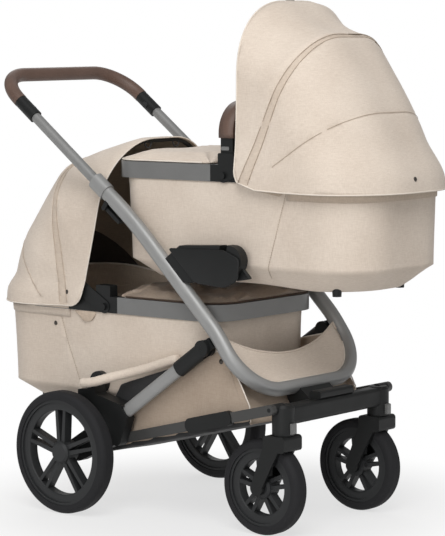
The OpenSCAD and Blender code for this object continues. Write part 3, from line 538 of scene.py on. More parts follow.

# %% [markdown]
# A canopy's cloth is lined and piped along its hem. It stands for the imported layers, which are hidden.

# %% Canopies
def canopy(cot, place, yarn, seams, **shape):
    """Sews one canopy: cloth with its lining, lines of yarn and a piped hem.

    Between the two front seams the linen is a darker copy, painted shade of a fold, and behind the last seam
    the lining is darker, painted shade of the deep inside."""
    bm, sewn = hood(seams, **shape)
    outward(bm, Vector((190, 0, 40)))
    hem = walk([e for e in bm.edges if e.is_boundary])
    for f in bm.faces:
        at = f.calc_center_median() - PIVOT
        first, second, last = ((at - Vector((x, 0, z))).dot(seam_facing(slope)) > 0
                               for (x, z), slope in seams)
        # Faces between the first two seams take the darker linen, painted shade of a fold.
        f.material_index = 2 if last else 4 if first and not second else 0
    # Behind the last seam the inner side takes the dark lining, painted shade of the deep inside.
    materials = [linen, lining, linen, lining_painted_shade, linen_fold_shade, lining]
    cloth = piece(cot + "_canopy_cloth", bm, place, materials)
    thicken(cloth, 1.8, lining=1)
    made = [cloth, tube(cot + "_canopy_hem", hem + hem[:1], 1.7, place, piping)]
    for i, line in enumerate(sewn):
        made.append(tube(f"{cot}_canopy_seam_{i + 1}", line, SEAM_YARN, place, yarn))
    heading = place.to_3x3() @ Vector((1, 0, 0))
    axis_at = TO_METRES @ place @ PIVOT
    start = axis_at + heading * 0.38 + Vector((0, 0, -0.06))
    end = axis_at + heading * -0.02 + Vector((0, 0, 0.30))
    for part in made:
        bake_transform(part)
    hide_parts(cot + "_canopy_back", cot + "_canopy_mid", cot + "_canopy_front")
    return cloth, (start, end)


def sloped(*seams):
    """Seams given as a point on each and its slope in degrees."""
    return [((x, z), math.radians(slope)) for x, z, slope in seams]


upper_seams = sloped((62, 8.5, 25.6), (89, 8.5, 22.9), (171, 40, 56.7))
lower_seams = sloped((118, 31.5, 10.6), (141, 31.5, 8.7), (215, 30, 43))
upper_bows = [(11, 1.0, 2.7), (33.8, 0.965, 0.75), (66, 0.902, 0.1), (97, 1.0, 0)]
lower_bows = [(0.5, 1.0, 0.8), (33, 1.0, 0.85), (62, 0.957, 0), (97, 1.0, 0)]
upper_canopy, upper_fold = canopy(
    "upper", UPPER, thread, upper_seams, edge=39, lean=math.radians(-1.5), bows=upper_bows,
    skirt=-28, flare=21, side_flare=6, rise=110, push=6, seed=1.3)
lower_canopy, lower_fold = canopy(
    "lower", LOWER, pale_thread, lower_seams, edge=69, lean=math.radians(14), bows=lower_bows,
    skirt=-4, flare=18, side_flare=5, rise=68, push=0, seed=4.1)

# %% [markdown]
# Small things hold the cloth: gunmetal press studs, and loops of black webbing. A stud is a turned
# part, so its profile is spun about its own axis and then set on the cloth, facing outwards.

# %% Studs and webbing
def stud(name, at, facing, place, body, radius=5.5):
    """A domed press stud at a point of the cloth."""
    bm = bmesh.new()
    profile = [(0, 2.2), (radius * 0.55, 2.0), (radius * 0.85, 1.3), (radius, 0.4), (radius, -0.6)]
    dome = strung(bm, ((r, 0, h) for r, h in profile))
    bmesh.ops.spin(bm, geom=dome, cent=(0, 0, 0), axis=(0, 0, 1), angle=math.tau, steps=20, use_merge=True)
    bmesh.ops.remove_doubles(bm, verts=bm.verts, dist=0.01)
    faced(bm)
    bmesh.ops.transform(bm, matrix=aimed(at, facing), verts=bm.verts)
    made = piece(name, bm, place, [gunmetal])
    if body:
        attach(made, body)
    return made


def canopy_stud(name, cloth, near):
    """A stud on a canopy, at the point of the cloth that is nearest to a point in metres."""
    view = bpy.context.evaluated_depsgraph_get()
    _, at, facing, _ = cloth.closest_point_on_mesh(Vector(near), depsgraph=view)
    made = stud(name, at * 1000, facing, Matrix.Identity(4), None)
    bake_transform(made)


def patch(name, corners, thick, soft, place, material, slot, body):
    """A flat piece cut to some corners, rounded and given a thickness along the width of the pram."""
    bm = bmesh.new()
    verts = [bm.verts.new(p) for p in corners]
    bm.faces.new(verts)
    bmesh.ops.bevel(bm, geom=verts, offset=soft, affect="VERTICES", segments=6, profile=0.5, material=-1)
    grown = bmesh.ops.extrude_face_region(bm, geom=bm.faces[:])
    bmesh.ops.translate(bm, verts=picked(grown["geom"]), vec=(0, thick, 0))
    faced(bm)
    rim = [e for e in bm.edges if abs(e.verts[0].co.y - e.verts[1].co.y) < 0.01]
    bmesh.ops.bevel(bm, geom=rim, offset=min(abs(thick) * 0.45, 3.0), affect="EDGES", segments=3,
                    profile=0.5, material=-1)
    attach(piece(name, bm, place, [material]), body)


for i, y in enumerate((-48, 52)):
    hang = [(11 * math.cos(math.radians(a)), 13 * math.sin(math.radians(a))) for a in range(180, 361, 15)]
    line = [(-24, y + a, 357 + b) for a, b in hang]
    riding("lower_canopy", tube(f"lower_canopy_loop_{i + 1}", line, 1.8, LOWER, black_cloth))
tab = [(27, -7, 357), (45, -7, 361), (45, -7, 369.5), (27, -7, 369.5)]
patch("upper_canopy_tab", tab, 14, 1.5, UPPER, black_cloth, "black_plastic", "upper_canopy")
canopy_stud("upper_canopy_stud", upper_canopy, (0.66, -0.02, 0.818))
for side, mirror in SIDES:
    canopy_stud("lower_canopy_stud_" + side, lower_canopy, (-0.3, mirror * 0.205, 0.513))
print("webbing loops, a pull tab and canopy studs")

# %% [markdown]
# The body of a cot is cloth stretched on a hidden wire frame: nearly upright walls down to a crease, then
# a slope to a flat board. Each level of it starts as a rectangle whose corners are rounded by a vertex
# bevel, and bridging the edge loops of the levels gives the skin. Built like this, every level has the
# same number of points, so the walls come out as clean strips of four-sided faces.

# %% Levels of a cot
COT_HALF, COT_HEAD, COT_FOOT = 190, 365, 357
HEAD_R, FOOT_R = 120.0, 75.0
CREASE = [(-38.2, 3, -4, 20), (-228, 10, -2, 22), (-268, 50, 58, 74)]


def outline(bm, z, side_in, head_in, foot_in, head_r=HEAD_R):
    """One level of a cot: a rectangle with rounded corners, cut finer along its straight sides."""
    w, head, foot = COT_HALF - side_in, COT_HEAD - head_in, COT_FOOT - foot_in
    old = set(bm.edges)
    corners = [bm.verts.new((x, y, z)) for x, y in ((head, -w), (head, w), (-foot, w), (-foot, -w))]
    bm.faces.new(corners)
    for pair, radius in ((corners[:2], min(head_r, w - 10)), (corners[2:], FOOT_R)):
        bmesh.ops.bevel(bm, geom=pair, offset=radius, affect="VERTICES", segments=12, profile=0.5,
                        material=-1)
    for axis, value, cuts in ((1, w, 24), (1, -w, 24), (0, head, 4), (0, -foot, 8)):
        straight = [e for e in bm.edges
                    if e not in old and all(abs(v.co[axis] - value) < 0.01 for v in e.verts)]
        bmesh.ops.subdivide_edges(bm, edges=straight, cuts=cuts)
    made = [e for e in bm.edges if e not in old]
    bmesh.ops.delete(bm, geom=made[0].link_faces[:], context="FACES_ONLY")
    return made


def loft(bm, levels, head_r=HEAD_R):
    """A skin through some levels; returns the edges of each. A level may name its own head corner."""
    rings = [outline(bm, *(*level, head_r)[:5]) for level in levels]
    for a, b in zip(rings, rings[1:]):
        bmesh.ops.bridge_loops(bm, edges=a + b)
    return rings


def capped(bm, rings):
    """Closes a skin at its first and its last level."""
    for ring in (rings[0], rings[-1]):
        bmesh.ops.contextual_create(bm, geom=ring)


def inset_at(z):
    """How far the body lies inside the rim at a height: at the sides, the head and the foot."""
    for (za, *a), (zb, *b) in zip(CREASE, CREASE[1:]):
        if za >= z >= zb:
            return [p + (q - p) * (za - z) / (za - zb) for p, q in zip(a, b)]


bm = bmesh.new()
print("points in one level", len(outline(bm, 0, 0, 0, 0)))
bm.free()

# %% [markdown]
# The body cloth has one slanting seam on each side, where a front panel meets the head panel. A plane cuts
# the skin along it and the cut points are pressed in, so the seam catches the light as a fine line. The
# cloth only ripples inwards, because the docks and the frame lie close outside it. The wall is four
# millimetres of cloth and foam with the liner as its inner side.

# %% Cot bodies
def seam_points(line, out):
    """Points along a seam on the left wall, from its top to its foot."""
    points = []
    for (xa, za), (xb, zb) in zip(line, line[1:]):
        steps = max(2, round(math.hypot(xb - xa, zb - za) / 8))
        points += [(xa + (xb - xa) * i / steps, za + (zb - za) * i / steps) for i in range(steps)]
    points.append(line[-1])
    return [(x, COT_HALF - inset_at(z)[0] + out, z) for x, z in points]


def body(cot, place, seam, sag, seed):
    """Sews the body of one cot and gives it its seams."""
    bm = bmesh.new()
    heights = [-38.2, -44, -58, *range(-80, -206, -25), -220, -228, -236, -246, -256, -264, -268]
    rings = loft(bm, [(z, *inset_at(z)) for z in heights])
    base = bmesh.ops.contextual_create(bm, geom=rings[-1])["faces"]
    for wide in (25, 40, 40):
        bmesh.ops.inset_region(bm, faces=base, thickness=wide, use_even_offset=True)
    pressed = []
    for (xa, za), (xb, zb) in zip(seam, seam[1:]):
        facing = Vector((za - zb, 0, xb - xa)).normalized()
        found = cut(bm, Vector((xa, 0, za)), facing, clear=False)
        pressed += [v for v in found if abs(v.co.y) > 130 and zb - 2 <= v.co.z <= za + 2]
    outward(bm, Vector((0, 0, -150)))
    for v in bm.verts:
        free = ease((-40 - v.co.z) / 30) * ease((v.co.z + 268) / 30)
        slack = 1.3 + 1.3 * ripple(v.co, 120, seed) + 0.5 * ripple(v.co, 38, seed + 3)
        v.co -= v.normal * free * slack
        v.co.z -= sag * ease((v.co.x - 40) / 200) * ease((-225 - v.co.z) / 40)
    for v in pressed:
        v.co -= v.normal * SEAM_DEPTH
    made = piece(cot + "_body_cloth", bm, place, [linen, liner])
    thicken(made, 4, lining=1)
    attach(made, cot + "_cot")
    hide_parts(cot + "_tub")
    for side, mirror in SIDES:
        line = [(x - 2.5, mirror * y, z) for x, y, z in seam_points(seam, -0.8)]
        row = stitches(f"{cot}_body_seam_{side}", line, place, thread, 4, 1.6, 0.55)
        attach(row, cot + "_cot")
    print(made.name, "faces", len(made.data.polygons))


body("upper", UPPER, [(173.6, -52), (102.7, -262)], sag=8, seed=2.2)
body("lower", LOWER, [(146, -45), (126.2, -114), (70, -262)], sag=0, seed=6.4)
for side, mirror in SIDES:
    for i, (x, z) in enumerate(((161, -75.5), (163.7, -46))):
        at = (x, mirror * (COT_HALF - inset_at(z)[0] - 1), z)
        stud(f"lower_body_stud_{side}_{i + 1}", at, (0, mirror, 0), LOWER, "lower_cot")

# %% [markdown]
# Inside each cot a soft liner lines the head half and stands a little above the rim, with a piped edge that
# rises towards the head. It is a wall through five levels, drawn in beside the hubs, whose top points are
# moved to the rising edge. Below the canopy's skirt a band of cloth covers the join of body and rim.

# %% Liners and bands
def head_half(bm, x):
    """Keeps what lies on the head side of a cross plane."""
    cut(bm, Vector((x, 0, 0)), Vector((-1, 0, 0)))


def lined(cot, place):
    """The liner of one cot with its piping, and the band under its rim."""
    bm = bmesh.new()
    levels = [(-72, 12, 5, 20), (-50, 11, 11, 20), (-25, 11, 11, 20), (-5, 11, 11, 20), (30, 12, 12, 20)]
    loft(bm, levels, 139)
    head_half(bm, -58)
    for v in bm.verts:
        if abs(v.co.y) > 150:
            v.co.y -= math.copysign(17 * ease((85 - v.co.x) / 32), v.co.y)
        rise = ease((v.co.z + 25) / 55)
        v.co.z += rise * (22 * ease((v.co.x - 48) / 260) - 20 - 15 * ease((100 - v.co.x) / 70))
    outward(bm, Vector((150, 0, 0)))
    edge = sorted((v.co.copy() for v in bm.verts if v.is_boundary and v.co.z > -12),
                  key=lambda p: math.atan2(p.y, p.x - 150))
    made = piece(cot + "_liner", bm, place, [liner, liner])
    thicken(made, 5)
    raised = [p + Vector((0, 0, 1.5)) for p in edge]
    cord = tube(cot + "_liner_piping", raised, 2.6, place, piping)
    low, from_x, cover = (-74, 172, liner) if cot == "upper" else (-57, 110, linen)
    bm = bmesh.new()
    loft(bm, [(-20, -0.25, -1.6, 20, 149), (-36, -0.25, -2.4, 20, 148), (-38, 0.6, -5.6, 20),
              (-47, 1.4, -5.8, 20), (low, 2.4, -5.2, 20)])
    head_half(bm, from_x)
    outward(bm, Vector((150, 0, -48)))
    band = piece(cot + "_body_band", bm, place, [cover, cover])
    thicken(band, 1.4)
    riding(cot + "_cot", made, cord, band)
    print(made.name, "edge points", len(edge))


for cot, place in COTS:
    lined(cot, place)
UPPER_FLAP = [(171, -39), (86, -39), (94, -56), (158, -66)]
LOWER_FLAP = [(96, -39), (22, -39), (36, -60), (60, -66)]
HUB_COVER = [(42, -37.6), (112, -37.6), (112, -0.4), (42, -0.4)]
for side, mirror in SIDES:
    for cot, place, flap in (("upper", UPPER, UPPER_FLAP), ("lower", LOWER, LOWER_FLAP)):
        corners = [(x, mirror * 188.2, z) for x, z in flap]
        patch(f"{cot}_body_flap_{side}", corners, mirror * 1.6, 8, place, liner, "beige_cloth", cot + "_cot")
    corners = [(x, mirror * 190.05, z) for x, z in HUB_COVER]
    patch(f"lower_hub_cover_{side}", corners, mirror * 1.6 / 6, 1, LOWER, black, "black_plastic", "lower_cot")
print("liners, bands, flaps and hub covers")

# %% [markdown]
# Padded pieces are closed shapes that are swollen with air. The remesh makes their faces even, and twenty
# frames of Cloth with pressure and no weight round them out. A limit on the movement keeps them in the
# room they have, and points that rest on something are held. The result is copied back as a plain mesh.

# %% Swelling a pad
AIR_PRESSURE, AIR_FRAMES = 4.0, 20


def evaluated(made):
    """A new mesh of a piece as its modifiers leave it."""
    return bpy.data.meshes.new_from_object(made.evaluated_get(bpy.context.evaluated_depsgraph_get()))


def blown(name, mesh, held):
    """The mesh of a pad after some frames of Cloth under pressure; held tells which points stay."""
    scene = bpy.context.scene
    pad = put(name + "_air", mesh)
    cloth = pad.modifiers.new("cloth", "CLOTH")
    cloth.settings.use_pressure, cloth.settings.uniform_pressure_force = True, AIR_PRESSURE
    cloth.settings.effector_weights.gravity = 0
    if held:
        group = pad.vertex_groups.new(name="held")
        group.add([v.index for v in mesh.vertices if held(v.co)], 1.0, "REPLACE")
        cloth.settings.vertex_group_mass = "held"
    cloth.point_cache.frame_start, cloth.point_cache.frame_end = 1, AIR_FRAMES
    for step in range(1, AIR_FRAMES + 1):
        scene.frame_set(step)
    result = evaluated(pad)
    scene.frame_set(1)
    bpy.data.objects.remove(pad)
    return result


def swell(made, voxel, cap, held=None):
    """Fills a closed pad with air, within a limit, and leaves its even mesh on the piece."""
    even = made.modifiers.new("even", "REMESH")
    even.mode, even.voxel_size = "VOXEL", voxel / 1000
    mesh = evaluated(made)
    made.modifiers.remove(even)
    rest = [v.co.copy() for v in mesh.vertices]
    mesh = blown(made.name, mesh, held)
    most = 0.0
    for v, old in zip(mesh.vertices, rest):
        move = v.co - old
        if move.length > cap / 1000:
            v.co = old + move.normalized() * cap / 1000
        most = max(most, (v.co - old).length)
    mesh.materials.clear()
    dressed(mesh, made.data.materials[:])
    made.data = mesh
    mesh.name = made.name
    print(made.name, "swollen by at most", round(most * 1000, 1), "mm, faces", len(mesh.polygons))


def finer(made):
    """One level of subdivision, the same in the view and in the render."""
    smooth = made.modifiers.new("finer", "SUBSURF")
    smooth.levels = smooth.render_levels = 1


print("pads are", "swollen with air")

# %% [markdown]
# The apron covers the foot half of a cot. It lies on the rim and its filling gives it a low crown. The
# upper one is linen and taut; the lower one is a coated cover that lies slack, so after swelling it gets
# long creases, made of a ridged noise that is stretched across the cot, and it is dented where the upper
# cot's feet come close.

# %% Aprons
FEET_PASS = 16.0  # the height above the rim that the upper cot's feet need


def dent(p):
    """How far the lower apron gives way where the upper cot's feet pass as its own cot is lifted."""
    beside = max(abs(abs(p.y) - 118) - 14, 0.0)
    along = max(-300 - p.x, p.x + 148, 0.0)
    return (1 - ease(math.hypot(beside, along) / 45)) * max(0.0, p.z - FEET_PASS)


def apron(cot, place, material, creases, seed):
    """One padded apron on its rim, with a piped edge; a slack one has deep creases and dents."""
    slack = creases > 2
    bm = bmesh.new()
    levels = [(0.6, 6, 6, 6), (3, 3, 3, 3), (7, 2.5, 2.5, 2.5), (10, 9, 9, 9), (13, 24, 24, 22),
              (15.5, 55, 55, 50)]
    capped(bm, loft(bm, levels, 40))
    cut(bm, Vector((-50, 0, 0)), Vector((1, 0, 0)))
    bmesh.ops.holes_fill(bm, edges=[e for e in bm.edges if e.is_boundary])
    faced(bm)
    line = bmesh.new()
    points = walk(outline(line, 3.4, 2.2, 2.2, 2.2))[:-1]
    line.free()
    head = max(range(len(points)), key=lambda i: points[i].x - abs(points[i].y) * 0.01)
    edge = [p for p in points[head:] + points[:head] if p.x < -52]
    made = piece(cot + "_apron_pad", bm, place, [material])
    floor_z = place.translation.z / 1000
    swell(made, 5, 9, lambda p: p.z < floor_z + 0.0035)
    home = (TO_METRES @ place).inverted()
    for v in made.data.vertices:
        p = home @ v.co
        loose = ease((p.z - 4) / 8)
        fold = 1 - abs(ripple((p.x * 0.9 + p.y * 0.25, p.y * 0.3, 0), 34, seed)) * 2.2
        v.co.z += loose * (creases * max(0.0, fold) ** 2 + 1.4 * ripple(p, 90, seed + 5)) / 1000
        if slack:
            v.co.z -= dent(home @ v.co) / 1000
    finer(made)
    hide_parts(cot + "_apron")
    cord = tube(cot + "_apron_piping", edge, 2.0, place, dark_thread if slack else piping)
    riding(cot + "_cot", made, cord)


apron("upper", UPPER, linen, creases=0.8, seed=1.1)
apron("lower", LOWER, coated, creases=7.5, seed=7.7)
for side, mirror in SIDES:
    stud("upper_apron_stud_" + side, (-240.6, mirror * 150, 19.0), (0, mirror / 4, 1), UPPER, "upper_cot", 5)

# %% [markdown]
# The mattress is a foam pad in a quilted cotton cover. It is swollen like the aprons, held where it lies on
# the board, and the quilting is pressed in afterwards, because the remesh would erase such narrow lines.

# %% Mattresses
BOARD_TOP, QUILT = -261.5, 62


def mattress(cot, place):
    """One quilted mattress on the floor of its cot."""
    bm = bmesh.new()
    levels = [(0, 78, 92, 102), (10, 68, 80, 92), (30, 62, 72, 86), (38, 80, 92, 104)]
    capped(bm, loft(bm, [(BOARD_TOP + z, *inset) for z, *inset in levels]))
    faced(bm)
    made = piece(cot + "_mattress_pad", bm, place, [cotton])
    floor_z = (place.translation.z + BOARD_TOP) / 1000
    swell(made, 5, 5, lambda p: p.z < floor_z + 0.004)
    home = (TO_METRES @ place).inverted()
    for v in made.data.vertices:
        p = home @ v.co
        if p.z > BOARD_TOP + 25:
            lines = [abs(((p.x + k * p.y) / QUILT) % 1 - 0.5) * QUILT for k in (1, -1)]
            v.co.z -= 0.003 * max(math.exp(-(d / 6) ** 2) for d in lines)
    finer(made)
    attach(made, cot + "_cot")
    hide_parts(cot + "_mattress")


for cot, place in COTS:
    mattress(cot, place)

# %% [markdown]
# A padded roll stiffens the top of the basket on each side. It follows the slope of the basket's edge and
# swings out at the rear, past the cradle that the lower cot rests in. A round cord along that line gives
# its core, which is then swollen and puckered a little.

# %% Basket rolls
ROLL_LINE = [(288, 199.2, 381), (245, 199.6, 368), (203, 201, 354), (168, 206, 343), (140, 214, 335),
             (115, 226, 328), (94, 239, 321), (74, 248, 315), (55, 252, 311), (30, 252.5, 307)]
for side, mirror in SIDES:
    line = spaced([(x, mirror * y, z) for x, y, z in ROLL_LINE], 6)
    roll = tube("basket_roll_" + side, line, 12.0, PRAM, linen)
    swell(roll, 4, 1.5)
    for v in roll.data.vertices:
        v.co.z += 0.0008 * ripple(v.co * 1000, 22, mirror)
    finer(roll)
    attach(roll, "chassis")
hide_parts("basket_rolls")

# %% [markdown]
# The shopping basket is a sewn bag between the rails. Its side is cut out as one flat face, which is
# extruded across the pram; the strips along the open edges are taken away. Planes then cut the bag into
# small faces, so the floor can sag and the walls can hang slack. A black panel closes the rear part under
# each roll, and the floor and the lowest strip of the walls are black too.

# %% Basket
SIDE = [(52, 137), (487.5, 245), (500, 249), (497, 290), (470, 340), (425, 408), (414, 410), (308, 385),
        (308, 366), (290, 366), (104, 305), (62, 236)]
OPEN = range(2, 11)
BASKET_HALF, FLOOR_SLOPE, LEG_SLOPE = 196.9, 0.248, 0.6976
FLOOR_STRIP, PANEL_FOOT = 11, 153


def floor_line(x):
    """The height of the basket's floor, which rises to the front."""
    return 137 + (x - 52) * FLOOR_SLOPE


def basket_material(p):
    """Which cloth a face is: linen, or black under the roll, at the floor and at the back."""
    if p.z < floor_line(p.x) + FLOOR_STRIP or p.x < 62:
        return 1
    return 1 if abs(p.y) > 180 and p.z > PANEL_FOOT + p.x * LEG_SLOPE and p.x < 300 else 0


bm = bmesh.new()
face = bm.faces.new([bm.verts.new((x, -BASKET_HALF, z)) for x, z in SIDE])
grown = bmesh.ops.extrude_face_region(bm, geom=[face])["geom"]
bmesh.ops.translate(bm, verts=picked(grown), vec=(0, 2 * BASKET_HALF, 0))
middles = [Vector((xa + xb, 0, za + zb)) / 2 for (xa, za), (xb, zb) in zip(SIDE, SIDE[1:])]
spare = [f for f in bm.faces if any((f.calc_center_median() - middles[i]).length < 1 for i in OPEN)]
bmesh.ops.delete(bm, geom=spare, context="FACES")
for axis, places in (((1, 0, 0), range(70, 530, 20)), ((0, 1, 0), range(-180, 181, 30)),
                     ((0, 0, 1), range(150, 396, 18))):
    for at in places:
        cut(bm, Vector(axis) * at, Vector(axis), clear=False)
cut(bm, Vector((62, 0, floor_line(62) + FLOOR_STRIP)), Vector((-FLOOR_SLOPE, 0, 1)).normalized(), clear=False)
cut(bm, Vector((0, 0, PANEL_FOOT)), Vector((-LEG_SLOPE, 0, 1)).normalized(), clear=False)
faced(bm)
outward(bm, Vector((290, 0, 260)))
for f in bm.faces:
    f.material_index = basket_material(f.calc_center_median())
for v in bm.verts:
    above = v.co.z - floor_line(v.co.x)
    if abs(v.co.y) > 196:
        hang = ease((above - 15) / 60)
        slack = hang * (1.6 + 1.6 * ripple(v.co, 85, 9.0)) + 0.8 * ripple(v.co, 30, 4.0)
        v.co.y -= math.copysign(max(0.0, slack), v.co.y)
    else:
        v.co.z -= 7 * ease(1 - abs(v.co.y) / 197) * ease((8 - above) / 8)
# The basket's linen is the darker copy, painted shade from the cot above.
basket_cloth = piece("basket_cloth", bm, PRAM, [basket_linen_painted_shade, black_cloth])
thicken(basket_cloth, 2.5)
finer(basket_cloth)
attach(basket_cloth, "chassis")
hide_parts("basket")
for side, y in SIDES:
    edge = [(425, y * 196, 408), (414, y * 196, 410), (363, y * 196, 398), (308, y * 196, 385)]
    seam = [(425, y * 196.6, 408), (470, y * 197, 340), (497, y * 197, 290), (500, y * 197, 250)]
    for name, line, radius in (("basket_edge_", edge, 2.0), ("basket_seam_", seam, 1.6)):
        riding("chassis", tube(name + side, spaced(line, 6), radius, PRAM, piping))
    for i, (x, z) in enumerate(((412.8, 384.3), (289.4, 345))):
        stud(f"basket_stud_{side}_{i + 1}", (x, y * 195.5, z), (0, y, 0), PRAM, "chassis", 6)
print(basket_cloth.name, "area", round(cloth_area(basket_cloth), 3), "m2")

# %% [markdown]
# The front of the basket closes below the hoop. Its top edge follows the hoop's bend a little behind the
# tube and its foot is sewn to the floor, so a grid is fitted between those two lines.

# %% Basket front
FRONT_HALF, FRONT_BEND, FRONT_FLAT, FRONT_SLACK = 196.4, 115, 100, 3
HOOP_TOP, HOOP_DOWN, TUBE_BACK = Vector((433.4, 0, 427.7)), Vector((0.588, 0, -0.809)), Vector((25.9, 0, 18.8))
bm = bmesh.new()
bmesh.ops.create_grid(bm, x_segments=40, y_segments=8, size=1)
for v in bm.verts:
    y, share = v.co.x * FRONT_HALF, (v.co.y + 1) / 2
    drop = FRONT_BEND * math.sqrt(1 - (max(0.0, abs(y) - FRONT_FLAT) / FRONT_BEND) ** 2) - 7
    top = HOOP_TOP - TUBE_BACK + Vector((0, y, 0)) + drop * HOOP_DOWN
    foot = Vector((499, y, 249 - 5 * ease(1 - abs(y) / 197)))
    v.co = top.lerp(foot, share)
    v.co.x -= FRONT_SLACK * math.sin(math.pi * share) * (1 + ripple((y, share * 50, 0), 60, 2.0))
faced(bm)
# The front takes the same darker linen, painted shade.
basket_front = piece("basket_front_cloth", bm, PRAM, [basket_linen_painted_shade])
thicken(basket_front, 2, offset=0)
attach(basket_front, "chassis")

# %% [markdown]
# A panel of cloth fills the lower part of the front hoop and keeps shopping in. It is a flat grid that is
# fitted between the hoop and its free edge, which sags in the middle, and it bellies away from the hoop.
# The free edge is folded over into a hem, and a piping runs where the panel meets the tube.

# %% Front panel
LOW, HALF, CORNER = 117.7, 199.7, 99.7
PANEL_DEEP, FREE_SAG, FREE_R, BELLY = 135, 60, 400, 15
HOOP = Matrix.Translation((433.37 - MIDDLE, 0, 427.66)) @ Matrix.Rotation(math.radians(144), 4, "Y")


def panel_edges(y):
    """Where the panel starts at its free edge and ends at the hoop, down the hoop from its top."""
    over = max(0.0, abs(y) - (HALF - CORNER))
    free = LOW - PANEL_DEEP + FREE_SAG - FREE_R + math.sqrt(FREE_R ** 2 - y * y)
    return free, LOW - CORNER + math.sqrt(max(0.0, CORNER ** 2 - over ** 2))


bm = bmesh.new()
bmesh.ops.create_grid(bm, x_segments=44, y_segments=14, size=1)
for v in bm.verts:
    y = v.co.x * (HALF - 0.6)
    share = (v.co.y + 1) / 2
    free, held = panel_edges(y)
    belly = BELLY * (1 - (y / HALF) ** 2) * math.sin(math.pi * min(1, share * 0.86 + 0.14))
    belly += 1.5 * ripple((y, share * 60, 0), 55, 3.0)
    out = belly * ease((1 - share) * 5) * ease((HALF - abs(y)) / 40)
    v.co = Vector((out, y, free + (held - 0.8 - free) * share))
faced(bm)
sewn = [(0.0, y, panel_edges(y)[1] - 1.6) for y in range(-196, 197, 7)]
ordered = sorted((v for v in bm.verts if v.is_boundary), key=lambda v: v.co.y)
hem = [v.co.copy() for v in ordered if v.co.z < sum(panel_edges(v.co.y)) / 2]
front_panel = piece("front_panel_cloth", bm, HOOP, [linen])
thicken(front_panel, 1.8, offset=0)
trims = [tube("front_panel_hem", hem, 2.6, HOOP, linen),
         tube("front_panel_piping", sewn, 2.0, HOOP, piping)]
riding("chassis", front_panel, *trims)
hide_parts("front_scoop")

# %% [markdown]
# The frame's cheeks hide the hooks that the upper cot drops into. Each is a moulded cover with a rounded
# end beside the main tube, and a smaller wedge behind it. A flat face takes the outline, and bevels round
# its corners and its edges as a mould would. The catch buttons of the carry handle are made the same way.

# %% Adapter covers
CHEEK = [(283, 638), (449, 642), (495, 624), (489, 575), (450, 556), (398, 560), (364, 562)]
WEDGE = [(468, 622), (512, 579), (470, 571)]
CATCH = [(-15, 32), (8, 32), (8, 41), (-15, 41)]
for side, mirror in SIDES:
    for name, corners, y, thick, soft, rest in (
            ("adapter_cheek_", CHEEK, 224.3, 4.6, 11, (PRAM, black, "black_plastic", "chassis")),
            ("adapter_wedge_", WEDGE, 200.5, 10, 5, (PRAM, black, "black_plastic", "chassis")),
            ("carry_button_", CATCH, 185.1, 2.4, 3, (UPPER, satin, "grey_plastic", "carry"))):
        patch(name + side, [(x, mirror * y, z) for x, z in corners], mirror * thick, soft, *rest)
print("cheeks, wedges and catch buttons")

# %% [markdown]
# The carry handle's grip is wrapped in leatherette. Its outer face is one strip that runs up one side, over
# the top and down the other. An edge is extruded and spun round the two bends, and a Solidify modifier
# gives it the thickness of the wrap.

# %% Carry grip wrap
STRIP, BEND, GRIP_LOW, BEND_LOW, GRIP_MIDDLE = 20.7, 72.5, 61.0, 70, 116.0
bm = bmesh.new()
edge = [bm.edges.new([bm.verts.new((x, -GRIP_MIDDLE - BEND, GRIP_LOW)) for x in (-STRIP, STRIP)])]


def onward(bm, edges, step):
    """Extrudes an edge by a step and returns the new edge."""
    grown = bmesh.ops.extrude_edge_only(bm, edges=edges)["geom"]
    bmesh.ops.translate(bm, verts=picked(grown), vec=step)
    return picked(grown, bmesh.types.BMEdge)


def bend(bm, edges, middle):
    """Spins an edge by a quarter turn over a bend and returns the last edge."""
    turned = bmesh.ops.spin(bm, geom=edges[0].verts[:] + edges, cent=middle, axis=(-1, 0, 0),
                            angle=math.pi / 2, steps=14)
    return picked(turned["geom_last"], bmesh.types.BMEdge)


edge = bend(bm, onward(bm, edge, (0, 0, BEND_LOW - GRIP_LOW)), (0, -GRIP_MIDDLE, BEND_LOW))
edge = bend(bm, onward(bm, edge, (0, 2 * GRIP_MIDDLE, 0)), (0, GRIP_MIDDLE, BEND_LOW))
onward(bm, edge, (0, 0, GRIP_LOW - BEND_LOW))
outward(bm, Vector((0, 0, 60)))
wrap = piece("carry_grip_wrap", bm, UPPER, [leather])
thicken(wrap, 1.2)
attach(wrap, "carry")
print(wrap.name, "faces", len(wrap.data.polygons))

# %% [markdown]
# The floor is a pale sweep and the light is soft: a large lamp high in front of the pram, a weaker one
# beside the camera, which reaches into the canopies, and a dim one behind. The floor turns white away
# from the pram, and the world is white to the camera, so that the background matches a studio cut-out
# while the floor keeps the soft shadow.

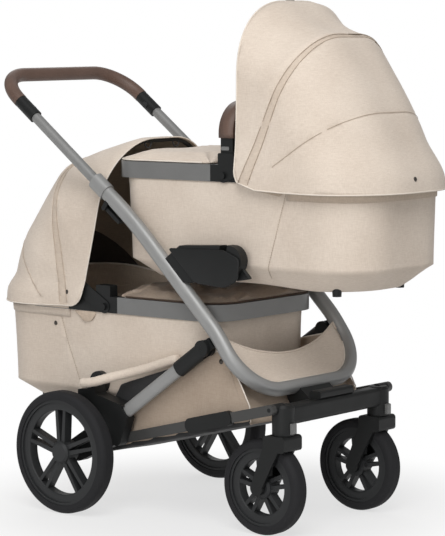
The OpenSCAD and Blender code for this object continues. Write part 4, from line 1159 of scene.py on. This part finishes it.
# %% Stage and light
bm = bmesh.new()
bmesh.ops.create_grid(bm, x_segments=2, y_segments=2, size=12)
mesh = bpy.data.meshes.new("floor")
bm.to_mesh(mesh)
bm.free()
put("floor", mesh)
paper, tree, surface, place = finish("studio_paper")
reach = add(tree, "VectorMath", {0: place}, operation="LENGTH")
away = add(tree, "MapRange", {0: (reach, "Value"), 1: 0.35, 2: 0.85, 3: 0.66, 4: 1.0},
           interpolation_type="SMOOTHSTEP")
path = add(tree, "LightPath", {})
seen = add(tree, "Math", {0: (path, "Is Camera Ray"), 1: (path, "Is Glossy Ray")}, operation="MAXIMUM")
white = add(tree, "Math", {0: (away, 0), 1: (seen, 0)}, operation="MULTIPLY")
glow = add(tree, "Emission", {"Color": (1, 1, 1, 1), "Strength": 1.0})
mixed = add(tree, "MixShader", {0: (white, 0), 1: (surface, 0), 2: (glow, 0)})
plug(tree, tree.nodes["Material Output"], {"Surface": (mixed, 0)})
plug(tree, surface, {"Base Color": linear("#DAD9D8"), "Roughness": 0.9})
mesh.materials.append(paper)

world = bpy.data.worlds.new("studio")
bpy.context.scene.world = world
world.use_nodes = True
tree = world.node_tree
path = add(tree, "LightPath", {})
seen = add(tree, "Math", {0: (path, "Is Camera Ray"), 1: (path, "Is Transmission Ray")}, operation="MAXIMUM")
amount = add(tree, "MapRange", {0: (seen, 0), 3: 0.40, 4: 1.0})
plug(tree, tree.nodes["Background"], {"Color": (1, 1, 1, 1), "Strength": (amount, 0)})


def lamp(name, at, aim, size, watts):
    """A square softbox that looks at a point."""
    light = bpy.data.lights.new(name, "AREA")
    light.size, light.energy = size, watts
    made = put(name, light)
    made.location = at
    made.rotation_mode = "QUATERNION"
    made.rotation_quaternion = (Vector(aim) - Vector(at)).to_track_quat("-Z", "Y")


lamp("key", (1.9, -2.5, 4.0), (0, 0, 0.6), 2.6, 126)
lamp("fill", (1.7, -4.7, 1.3), (0, 0, 0.5), 1.6, 47)
lamp("rear", (-2.8, 2.4, 2.6), (0, 0, 0.7), 2.0, 26)
bpy.context.scene.view_settings.view_transform = "Standard"
print("stage and three lamps")
